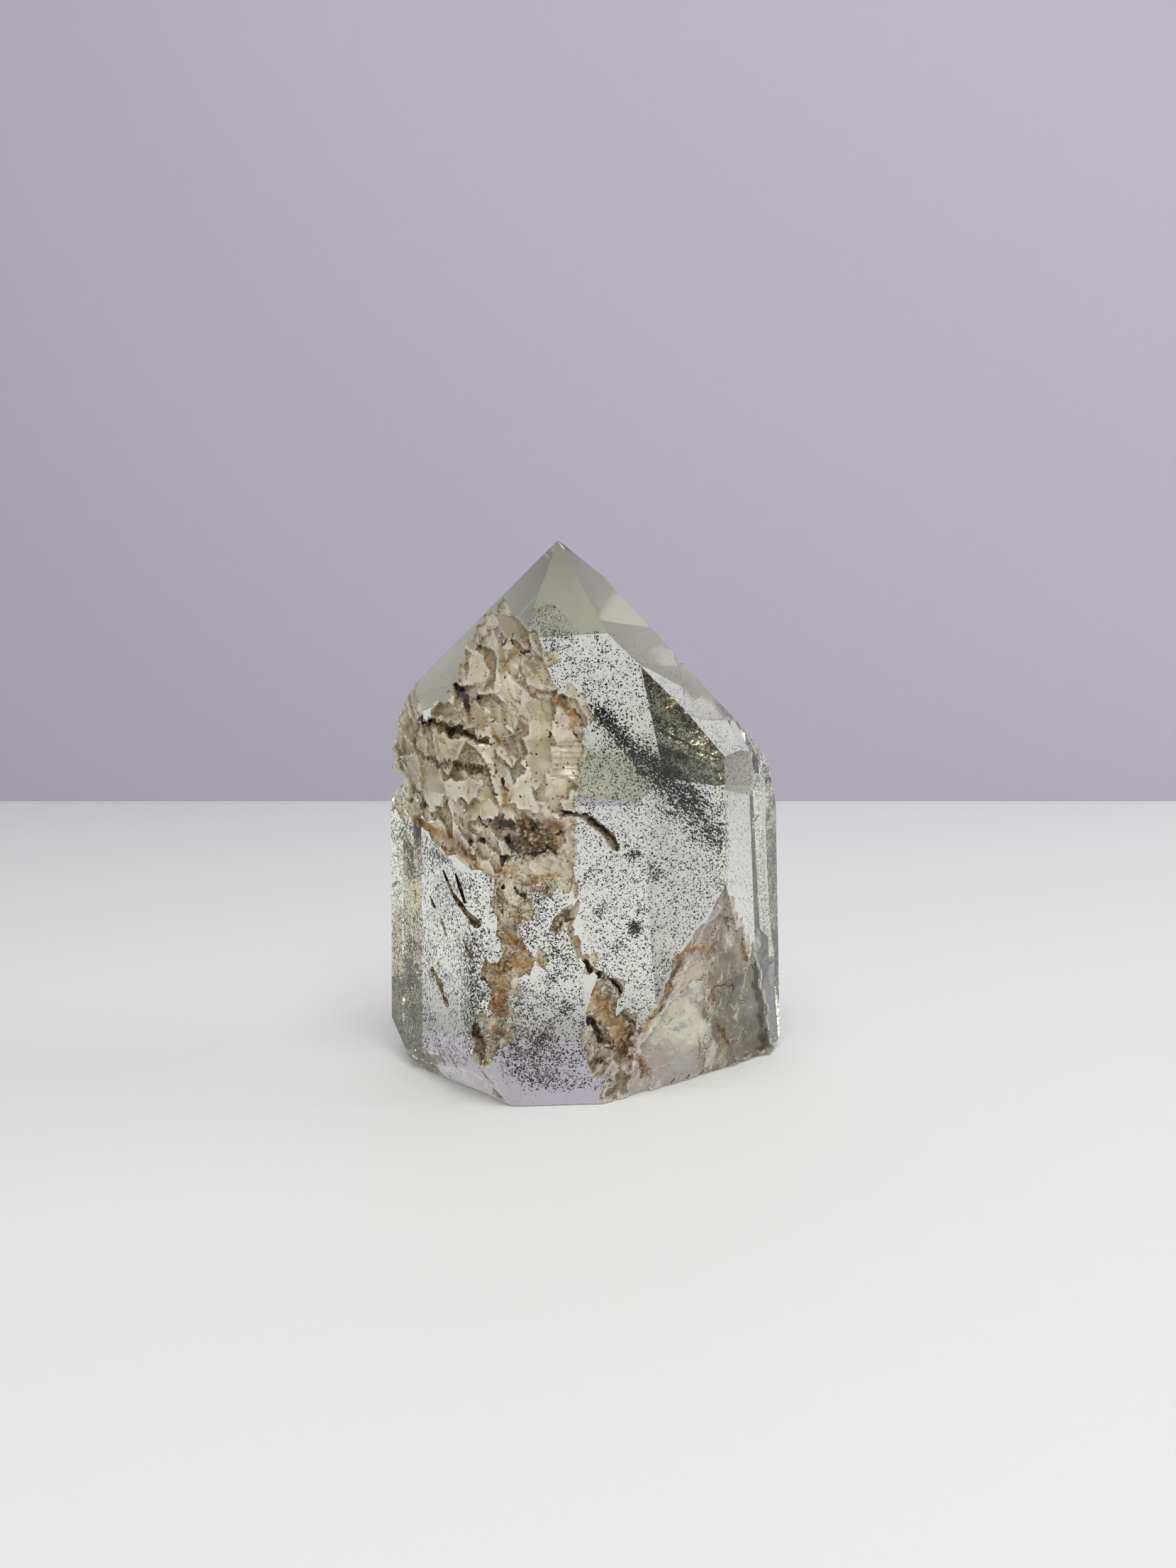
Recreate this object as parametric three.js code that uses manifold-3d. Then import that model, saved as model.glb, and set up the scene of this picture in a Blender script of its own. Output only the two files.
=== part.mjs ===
// Garden quartz tower: a six-sided quartz crystal ground and polished to a point, with natural broken
// surfaces left on its front left, along a seam down the front, and at its foot. It is one solid.
// Millimetres, +Z up. It stands on Z = 0, its box is centred on the Z axis, and its front faces -Y.

import * as THREE from 'three';
import { mergeVertices } from 'three/addons/utils/BufferGeometryUtils.js';
import Module from 'manifold-3d';

const STONE_COLOUR = 0xb9b7a6;
const STONE_ROUGHNESS = 0.15;

// Size of the block that the facets trim, and the relief's width, its lowest and highest place and the
// spacing of its grid.
const RAW_SIZE = 90;
const RELIEF_WIDTH = 66;
const RELIEF_LOW = -0.9;
const RELIEF_HIGH = 73.1;
const GRID = 0.66;

// How far the relief's surface stays outside the stone where nothing is carved.
const CLEARANCE = 1.0;

// Radius that the crystal's edges are worn to inside the natural surfaces.
const WORN_RADIUS = 2.2;

// The flat facets. Azimuth is the way a facet looks: 0 is +X, 90 is the back and 270 is the front.
// Rise is its tilt above the level, and reach is its distance from the Z axis at the given height.
const FACETS = {
  front:         { azimuth: 274.3, rise: 0, reach: 20.8, height: 0 },
  frontLeft:     { azimuth: 214, rise: 0, reach: 25.5, height: 0 },
  left:          { azimuth: 183, rise: 1, reach: 29.3, height: 40 },
  backLeftSide:  { azimuth: 146, rise: 0, reach: 24.5, height: 0 },
  backLeft:      { azimuth: 129, rise: 0, reach: 23.9, height: 0 },
  back:          { azimuth: 92, rise: 0, reach: 21.7, height: 0 },
  backRight:     { azimuth: 52, rise: 3, reach: 21.9, height: 30 },
  backRightSide: { azimuth: 44, rise: 3, reach: 22.6, height: 30 },
  right:         { azimuth: 335, rise: 1.2, reach: 24.9, height: 30 },
  tipFront:      { azimuth: 270.4, rise: 45.3, reach: 24.1, height: 60 },
  tipLeft:       { azimuth: 207.4, rise: 36.2, reach: 19.4, height: 60 },
  tipRight:      { azimuth: 334.8, rise: 41.7, reach: 14, height: 60 },
  tipSide:       { azimuth: 8, rise: 42.5, reach: 21.5, height: 50 },
  tipBackRight:  { azimuth: 48.6, rise: 35.4, reach: 15.3, height: 50 },
  tipBack:       { azimuth: 88, rise: 37.3, reach: 5.3, height: 60 },
  tipBackLeft:   { azimuth: 130, rise: 46.5, reach: 14.7, height: 60 },
  shoulderFront: { azimuth: 333, rise: 36.4, reach: 22.8, height: 50 },
  shoulderRight: { azimuth: 339.6, rise: 33, reach: 22.6, height: 50 },
  shoulderSide:  { azimuth: 10, rise: 20, reach: 25.9, height: 45 },
  footRight:     { azimuth: 308.7, rise: -16, reach: 18.1, height: 0 },
  footLeft:      { azimuth: 225, rise: -29.6, reach: 22.5, height: 0 },
  cornerLeft:    { azimuth: 198, rise: -20, reach: 26.6, height: 0 },
  cornerLeftLow: { azimuth: 205, rise: -50, reach: 24.7, height: 0 },
  cornerRight:   { azimuth: 350, rise: -35, reach: 27.6, height: 0 },
};

// Natural surfaces of the front, as outlines of [x, z]. Edge is the depth at the outline, slope is how fast
// it deepens inwards, and depth is the most it reaches. Plates are the broken pieces that it is made of:
// their size, their height, their length for one unit of width, and the direction of that length.
const BREAKS = {
  upperLeft: {
    outline: [
      [-12.7, 68.1], [-14.3, 66.3], [-15.4, 64], [-16.8, 62.5], [-18.1, 58.5], [-19.8, 54.7], [-21.7, 52.9],
      [-24, 52.2], [-25.7, 54], [-27, 57.5], [-33, 57.5], [-33, 38.2], [-24.1, 38], [-20.5, 36.6],
      [-15, 33], [-12.2, 31.9], [-8.5, 32.2], [-3.8, 33.4], [-2.6, 35.7], [-2.9, 39.5], [-1.7, 43.3],
      [-0.2, 48], [0.1, 49.8], [-0.2, 51.7], [0.4, 53.5], [-1.4, 55.9], [-4.2, 56.8], [-5.1, 57.7],
      [-4.5, 59.5], [-6, 62.3], [-7, 63.4], [-8, 65.1], [-9.8, 64.2], [-10.6, 66.6],
    ],
    edge: 0.2, slope: 0.45, depth: 1.3,
    plates: { size: 2.4, height: 1.4, length: 2.2, direction: 118 },
  },
  leftEdge: {
    outline: [
      [-26.7, 55.8], [-28.2, 55.2], [-29.1, 52.6], [-27.2, 50.3], [-28.9, 46.6], [-28, 44.1], [-26, 41.8],
      [-26.4, 40.9], [-28.6, 39.5], [-29.3, 38.1], [-33, 38.1], [-33, 60],
    ],
    edge: 0, slope: 5, depth: 14,
    plates: { size: 1.6, height: 0.8, length: 1.6, direction: 70 },
  },
  middle: {
    outline: [
      [-12.4, 32.2], [-3.2, 33.6], [-2.4, 30.5], [-5.5, 28.8], [-7.5, 30], [-9.4, 28], [-10.4, 24.5],
      [-9, 21.8], [-6, 19.5], [-6.5, 14], [-9.5, 12], [-12.5, 14.5], [-13.4, 20], [-12.6, 26],
    ],
    edge: 0.15, slope: 0.3, depth: 0.5,
    plates: { size: 1.6, height: 0.45, length: 1.8, direction: 100 },
  },
  lowerMiddle: {
    outline: [
      [-0.6, 19.8], [4.6, 15.6], [7.2, 10], [5.4, 5.4], [3.2, 3], [0.8, 5.2], [-0.4, 8.4], [-0.8, 12],
      [1.2, 15],
    ],
    edge: 0.15, slope: 0.5, depth: 0.8,
    plates: { size: 1.4, height: 0.6, length: 1.6, direction: 60 },
  },
  footRight: {
    outline: [
      [18.6, 30], [16.2, 25.1], [13.6, 22.6], [11.4, 19.4], [9.6, 14.5], [7.1, 10.4], [5.2, 5.5], [4.2, -2],
      [29, -2], [26.8, 4], [24, 12.4], [22, 22],
    ],
    edge: 0.1, slope: 0.16, depth: 0.5,
    plates: { size: 3.4, height: 0.5, length: 3, direction: 62 },
  },
  footLeft: {
    outline: [[-26, 3.4], [-15.9, 7], [-14.4, 6], [-12.4, 3.8], [-10.6, -2], [-26, -2]],
    edge: 0.05, slope: 0.1, depth: 0.25,
    plates: { size: 2.6, height: 0.25, length: 3, direction: 128 },
  },
  footChip: {
    outline: [[2.2, 4.3], [5.9, 3.8], [6.4, -2], [2.6, -2]],
    edge: 0.3, slope: 0.3, depth: 0.8,
    plates: { size: 1.8, height: 0.4, length: 1.2, direction: 30 },
  },
  rightStep: {
    outline: [
      [12.2, 61.5], [12.4, 60.1], [13.1, 57.4], [12.9, 54.6], [12.6, 53.1], [15.5, 52], [19.2, 51.6],
      [25, 51], [25, 62], [14.5, 64],
    ],
    edge: 0.45, slope: 0, depth: 0.45,
    plates: { size: 3, height: 0, length: 1, direction: 0 },
  },
};

// Slits, pits and grooves of the front, as runs of [x, z, half width].
const CUTS = {
  cavity: { run: [[-23.5, 51.6, 0.3], [-20.5, 50.8, 0.9], [-16, 49.9, 1.2], [-13, 48.7, 0.3]], depth: 3.4 },
  blackPit: { run: [[-18.6, 56.2, 0.45], [-17.2, 54.6, 0.7], [-16.3, 53.4, 0.3]], depth: 2 },
  upperPit: { run: [[-14.8, 55.8, 0.9]], depth: 1.2 },
  amberPit: { run: [[-10.9, 33.7, 0.9]], depth: 1.4 },
  crack: { run: [[-3.2, 39.7, 0.3], [-0.5, 39.4, 0.55], [2.6, 36.8, 0.55], [3.8, 34.8, 0.3]], depth: 1.6 },
  seam: {
    run: [
      [-2.9, 39.5, 0.6], [-2.4, 38, 0.6], [-2.9, 34.8, 0.9], [-2.1, 32.6, 0.4], [-2.3, 31, 0.5],
      [-1.7, 28.6, 0.3], [-2.4, 25.2, 0.6], [-1.5, 22.3, 0.4], [-0.1, 19.4, 0.5],
    ],
    depth: 0.6,
  },
  upperSlit: { run: [[-0.6, 19.6, 0.3], [1.4, 17.6, 0.5]], depth: 1.6 },
  lowerSlit: { run: [[2.6, 17.7, 0.35], [4.2, 15.3, 0.45]], depth: 1.6 },
  lowerPit: { run: [[0.4, 11.6, 1], [2.3, 8.1, 1.2]], depth: 1.7 },
  leftRidge: { run: [[-24.8, 37.4, 0.5], [-20.5, 35.8, 1], [-15, 33, 0.8]], depth: 1 },
  leftNotch: { run: [[-31, 27.3, 1.3], [-28.4, 27, 0.5]], depth: 5 },
  footCavity: { run: [[-15.2, 10.8, 0.5], [-14.6, 8.2, 1.2], [-14.3, 6, 0.8]], depth: 1.6 },
  footCrack: { run: [[-14.6, 4.5, 0.3], [-12.6, 1, 0.4], [-10.4, -1, 0.4]], depth: 0.7 },
  shoulderNotch: { run: [[13, 62.6, 0.4], [13.4, 60.9, 0.7], [13.3, 59.9, 0.3]], depth: 5 },
};

// Flat shards inside the natural surfaces, each with its outline, its depth at the first point of that
// outline, and its tilt. The inner face is a crystal face that the break has laid bare.
const SHARDS = {
  innerFace: {
    outline: [[-3.3, 56.3], [-0.7, 52.6], [-0.4, 49.4], [-1.3, 44.7], [-5.7, 39.8], [-6.6, 48]],
    depth: 1.1, tilt: { x: -0.12, z: 0.02 },
  },
  besideFace: {
    outline: [[-7.9, 54.5], [-4.2, 55.9], [-4.9, 49.8], [-5.6, 44.3], [-7, 42.4], [-8.4, 48]],
    depth: 0.9, tilt: { x: 0.22, z: 0.03 },
  },
  top: {
    outline: [[-13.1, 66], [-10.6, 66.8], [-8, 64.6], [-6.9, 62.7], [-9.3, 62.3], [-12.1, 63.4]],
    depth: 0.5, tilt: { x: 0.12, z: 0.1 },
  },
  upperRight: {
    outline: [[-8.8, 60], [-6.5, 60.5], [-5.1, 59.1], [-5.6, 56.8], [-8.4, 55.9]],
    depth: 0.6, tilt: { x: -0.1, z: -0.15 },
  },
  pale: {
    outline: [[-16.7, 60], [-15.8, 61.8], [-13.9, 60.5], [-13.2, 57.2], [-14.7, 55.8], [-16.9, 56.7]],
    depth: 0.7, tilt: { x: 0.15, z: -0.05 },
  },
  upperLeft: {
    outline: [[-19.5, 54.7], [-17.4, 53.5], [-16.8, 51.9], [-19.6, 51.9], [-21.9, 52.7]],
    depth: 0.6, tilt: { x: -0.1, z: -0.25 },
  },
  middle: {
    outline: [[-16.4, 54.4], [-13, 53.6], [-13.7, 50.8], [-15, 51]],
    depth: 1, tilt: { x: 0.3, z: 0.1 },
  },
  slab: {
    outline: [[-12.1, 50.3], [-9.3, 46.9], [-10.1, 45.6], [-12.1, 48.2]],
    depth: 0.8, tilt: { x: -0.2, z: 0.15 },
  },
  tongue: {
    outline: [[-19.2, 44], [-15.6, 44.5], [-13.1, 43.6], [-15.8, 41.3], [-19, 41]],
    depth: 0.5, tilt: { x: 0.05, z: 0.3 },
  },
  glassy: {
    outline: [[-24, 44.9], [-20.1, 46.1], [-19.5, 39.9], [-22.9, 38.8]],
    depth: 1, tilt: { x: -0.1, z: 0.05 },
  },
  lowerLeft: {
    outline: [[-10.1, 43.8], [-7.7, 45.7], [-6.6, 39.8], [-9.6, 40.1]],
    depth: 0.9, tilt: { x: -0.15, z: -0.1 },
  },
  lowerRight: {
    outline: [[-5.8, 44.3], [-2.9, 44.7], [-1.5, 43.5], [-3.8, 40], [-5.7, 39.6]],
    depth: 0.7, tilt: { x: 0.2, z: -0.12 },
  },
  beige: {
    outline: [[-16.4, 40.5], [-12.1, 41.5], [-12.2, 38.9], [-15.9, 38.7]],
    depth: 0.9, tilt: { x: 0.1, z: 0.2 },
  },
  ribbon: {
    outline: [[-12.2, 30.6], [-10.2, 31.1], [-8.5, 27.7], [-10.2, 22.5], [-12.1, 24.4]],
    depth: 0.6, tilt: { x: -0.15, z: 0.02 },
  },
  footInner: {
    outline: [[7.1, 8.4], [15.1, 15.9], [16.8, 13.8], [17.1, 6.7], [15.7, 2.4], [8.3, 1.9]],
    depth: 0.3, tilt: { x: 0.02, z: -0.02 },
  },
  footOuter: {
    outline: [[16.9, 21.5], [21.2, 23.1], [23.8, 11.9], [21.8, 4.1], [17.8, 5.3]],
    depth: 0.6, tilt: { x: -0.08, z: 0 },
  },
  footEdge: {
    outline: [[23.7, 20.4], [28.2, 0.5], [23.2, 1.2], [21.8, 12.4]],
    depth: 0.4, tilt: { x: 0.1, z: 0 },
  },
};

const wasm = await Module();
wasm.setup();

// Plane of a facet, as its outward normal and its distance along that normal.
function facetPlane({ azimuth, rise, reach, height }) {
  const around = THREE.MathUtils.degToRad(azimuth);
  const up = THREE.MathUtils.degToRad(rise);
  const normal = new THREE.Vector3(
    Math.cos(around) * Math.cos(up), Math.sin(around) * Math.cos(up), Math.sin(up));
  const onPlane = new THREE.Vector3(reach * Math.cos(around), reach * Math.sin(around), height);
  return { normal, distance: normal.dot(onPlane) };
}

// Closed solid from a geometry whose coincident corners are merged.
function toSolid(geometry) {
  geometry.deleteAttribute('normal');
  geometry.deleteAttribute('uv');
  const merged = mergeVertices(geometry, 1e-4);
  return new wasm.Manifold(new wasm.Mesh({
    numProp: 3,
    vertProperties: new Float32Array(merged.attributes.position.array),
    triVerts: new Uint32Array(merged.index.array),
  }));
}

// Large block that lies wholly outside a facet, with one side on it.
function outsideOf({ normal, distance }) {
  const block = new THREE.BoxGeometry(4 * RAW_SIZE, 4 * RAW_SIZE, 2 * RAW_SIZE);
  block.translate(0, 0, RAW_SIZE);
  block.applyQuaternion(new THREE.Quaternion().setFromUnitVectors(new THREE.Vector3(0, 0, 1), normal));
  block.translate(normal.x * distance, normal.y * distance, normal.z * distance);
  return toSolid(block);
}

function polishedCrystal() {
  const raw = new THREE.BoxGeometry(RAW_SIZE, RAW_SIZE, RAW_SIZE);
  raw.translate(0, 0, RAW_SIZE / 2);
  let crystal = toSolid(raw);
  for (const facet of Object.values(FACETS)) {
    crystal = crystal.subtract(outsideOf(facetPlane(facet)));
  }
  return crystal;
}

// Number from 0 to 1 that belongs to a cell and never changes.
function scatter(i, j, k) {
  const value = Math.sin(i * 127.1 + j * 311.7 + k * 74.7) * 43758.5453;
  return value - Math.floor(value);
}

// Height of a field of flat tilted plates with small cliffs between them, about -1 to 1.
function plateHeight(x, z, { size, length, direction }) {
  const turn = THREE.MathUtils.degToRad(direction);
  const along = (x * Math.cos(turn) + z * Math.sin(turn)) / (size * length);
  const across = (z * Math.cos(turn) - x * Math.sin(turn)) / size;
  let nearest = Infinity;
  let height = 0;
  for (let i = Math.floor(along) - 1; i <= Math.floor(along) + 1; i++) {
    for (let j = Math.floor(across) - 1; j <= Math.floor(across) + 1; j++) {
      const du = along - i - scatter(i, j, 1);
      const dv = across - j - scatter(i, j, 2);
      const apart = du * du + dv * dv;
      if (apart < nearest) {
        nearest = apart;
        height = scatter(i, j, 3) - 0.5 + du * (scatter(i, j, 4) - 0.5) + 1.6 * dv * (scatter(i, j, 5) - 0.5);
      }
    }
  }
  return height;
}

// Distance of a point inside an outline, negative outside it.
function insideBy(x, z, outline) {
  let nearest = Infinity;
  let inside = false;
  for (let i = 0; i < outline.length; i++) {
    const [ax, az] = outline[i];
    const [bx, bz] = outline[(i + 1) % outline.length];
    const share = ((x - ax) * (bx - ax) + (z - az) * (bz - az)) / ((bx - ax) ** 2 + (bz - az) ** 2);
    const t = THREE.MathUtils.clamp(share, 0, 1);
    nearest = Math.min(nearest, Math.hypot(x - ax - t * (bx - ax), z - az - t * (bz - az)));
    if ((az > z) !== (bz > z) && x < ax + ((z - az) / (bz - az)) * (bx - ax)) {
      inside = !inside;
    }
  }
  return inside ? nearest : -nearest;
}

// Outlines of natural surfaces waver a little. This is a point's place among straight outlines.
function wavered(x, z) {
  return [x + 0.3 * Math.sin(1.9 * z + 1.3 * x), z + 0.3 * Math.sin(2.3 * x - 1.1 * z)];
}

// Depth of a broken surface below the polished one, negative outside its outline.
function breakDepth(x, z, worn, { outline, edge, slope, depth, plates }) {
  const inwards = insideBy(...wavered(x, z), outline);
  if (inwards < 0) {
    return Math.max(edge + 3 * inwards, -CLEARANCE);
  }
  const plate = plates.height * plateHeight(x, z, plates) * Math.min(1, inwards / 1.2);
  const wear = worn * Math.min(1, inwards / 3);
  return Math.max(Math.min(depth, edge + slope * inwards) + wear + plate, 0.02);
}

// Depth of a flat shard, or null outside its outline.
function shardDepth(x, z, worn, { outline, depth, tilt }) {
  if (insideBy(...wavered(x, z), outline) < 0) {
    return null;
  }
  const [atX, atZ] = outline[0];
  return Math.max(depth + worn + tilt.x * (x - atX) + tilt.z * (z - atZ), 0.1);
}

// Depth of a slit, pit or groove, rounded across, negative outside it.
function cutDepth(x, z, { run, depth }) {
  let deepest = -CLEARANCE;
  for (let i = 0; i < Math.max(1, run.length - 1); i++) {
    const [ax, az, aw] = run[i];
    const [bx, bz, bw] = run[Math.min(i + 1, run.length - 1)];
    const squared = (bx - ax) ** 2 + (bz - az) ** 2;
    const share = squared === 0 ? 0 : ((x - ax) * (bx - ax) + (z - az) * (bz - az)) / squared;
    const t = THREE.MathUtils.clamp(share, 0, 1);
    const away = Math.hypot(x - ax - t * (bx - ax), z - az - t * (bz - az));
    const across = away / (aw + t * (bw - aw));
    deepest = Math.max(deepest, depth * (1 - across * across));
  }
  return Math.max(deepest, -CLEARANCE);
}

// Depth of all the natural relief at a point, below the polished facets there.
function reliefDepth(x, z, worn) {
  let depth = -CLEARANCE;
  for (const broken of Object.values(BREAKS)) {
    depth = Math.max(depth, breakDepth(x, z, worn, broken));
  }
  for (const shard of Object.values(SHARDS)) {
    depth = shardDepth(x, z, worn, shard) ?? depth;
  }
  for (const cut of Object.values(CUTS)) {
    depth = Math.max(depth, cutDepth(x, z, cut));
  }
  return depth;
}

// Solid of everything in front of the relief.
function reliefBlock() {
  const planes = Object.values(FACETS).map(facetPlane).filter(({ normal }) => normal.y < -0.3);
  const height = RELIEF_HIGH - RELIEF_LOW;
  const across = Math.round(RELIEF_WIDTH / GRID);
  const upwards = Math.round(height / GRID);
  const block = new THREE.BoxGeometry(RELIEF_WIDTH, 2, height, across, 1, upwards);
  block.translate(0, 0, RELIEF_LOW + height / 2);
  const points = block.attributes.position;
  for (let i = 0; i < points.count; i++) {
    const x = points.getX(i);
    const z = points.getZ(i);
    const reaches = planes.map(({ normal, distance }) => (normal.x * x + normal.z * z - distance) / normal.y);
    const polished = Math.min(...reaches);
    const near = reaches.reduce((sum, reach) => sum + Math.exp((polished - reach) / WORN_RADIUS), 0);
    const worn = WORN_RADIUS * Math.log(near);
    points.setY(i, points.getY(i) > 0 ? reliefDepth(x, z, worn) - polished : -RAW_SIZE / 2);
  }
  return toSolid(block);
}

// Mesh of the stone, with flat shading so that every facet stays crisp.
function stoneMesh() {
  const { vertProperties, triVerts } = polishedCrystal().subtract(reliefBlock()).getMesh();
  const geometry = new THREE.BufferGeometry();
  geometry.setAttribute('position', new THREE.BufferAttribute(vertProperties, 3));
  geometry.setIndex(new THREE.BufferAttribute(triVerts, 1));
  const material = new THREE.MeshStandardMaterial({
    color: STONE_COLOUR, roughness: STONE_ROUGHNESS, metalness: 0, flatShading: true,
  });
  const mesh = new THREE.Mesh(geometry, material);
  mesh.name = 'quartz_tower';
  return mesh;
}

const tower = new THREE.Group();
tower.add(stoneMesh());

export default tower;
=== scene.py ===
"""Looks of the garden quartz tower: a clear polished crystal with broken natural surfaces, iron stains
and thousands of dark chlorite flakes inside. Sizes below are in millimetres, in the frame's own axes."""

import math

import bmesh
import bpy
import numpy as np
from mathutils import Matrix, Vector


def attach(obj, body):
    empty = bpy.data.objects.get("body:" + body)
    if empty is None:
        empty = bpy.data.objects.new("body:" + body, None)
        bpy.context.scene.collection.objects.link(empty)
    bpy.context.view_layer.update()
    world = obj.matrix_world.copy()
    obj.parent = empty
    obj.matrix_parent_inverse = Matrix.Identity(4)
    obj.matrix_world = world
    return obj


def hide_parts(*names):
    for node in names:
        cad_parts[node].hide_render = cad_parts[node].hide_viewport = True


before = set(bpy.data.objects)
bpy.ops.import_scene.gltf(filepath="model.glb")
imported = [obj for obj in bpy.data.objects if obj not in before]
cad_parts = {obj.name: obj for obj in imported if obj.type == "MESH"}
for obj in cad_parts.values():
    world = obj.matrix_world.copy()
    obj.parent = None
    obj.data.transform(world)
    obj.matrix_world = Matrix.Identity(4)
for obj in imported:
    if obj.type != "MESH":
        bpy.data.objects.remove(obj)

MM = 0.001
SEED = 41

# The block that the facets trim, and the relief's width, lowest and highest place and grid.
RAW_SIZE = 90
RELIEF_WIDTH = 66
RELIEF_LOW = -0.9
RELIEF_HIGH = 73.1
GRID = 0.17

# How far the relief's surface stays outside the stone where nothing is carved.
CLEARANCE = 1.0

# Radius that the crystal's edges are worn to inside the natural surfaces.
WORN_RADIUS = 2.2

# The flat facets, as azimuth, rise, reach and height. Azimuth is the way a facet looks: 0 is +X, 90 is the
# back and 270 the front. Rise is its tilt upwards, reach its distance from the Z axis at the height.
FACETS = {
    "front": (274.3, 0, 20.8, 0),
    "frontLeft": (214, 0, 25.5, 0),
    "left": (183, 1, 29.3, 40),
    "backLeftSide": (146, 0, 24.5, 0),
    "backLeft": (129, 0, 23.9, 0),
    "back": (92, 0, 21.7, 0),
    "backRight": (52, 3, 21.9, 30),
    "backRightSide": (44, 3, 22.6, 30),
    "right": (335, 1.2, 24.9, 30),
    "tipFront": (270.4, 45.3, 24.1, 60),
    "tipLeft": (207.4, 36.2, 19.4, 60),
    "tipRight": (334.8, 41.7, 14, 60),
    "tipSide": (8, 42.5, 21.5, 50),
    "tipBackRight": (48.6, 35.4, 15.3, 50),
    "tipBack": (88, 37.3, 5.3, 60),
    "tipBackLeft": (130, 46.5, 14.7, 60),
    "shoulderFront": (333, 36.4, 22.8, 50),
    "shoulderRight": (339.6, 33, 22.6, 50),
    "shoulderSide": (10, 20, 25.9, 45),
    "footRight": (308.7, -16, 18.1, 0),
    "footLeft": (225, -29.6, 22.5, 0),
    "cornerLeft": (198, -20, 26.6, 0),
    "cornerLeftLow": (205, -50, 24.7, 0),
    "cornerRight": (350, -35, 27.6, 0),
}

# Facets whose normal's Y is below this look to the front, and bound the relief.
FRONT_FACING = -0.3

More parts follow.
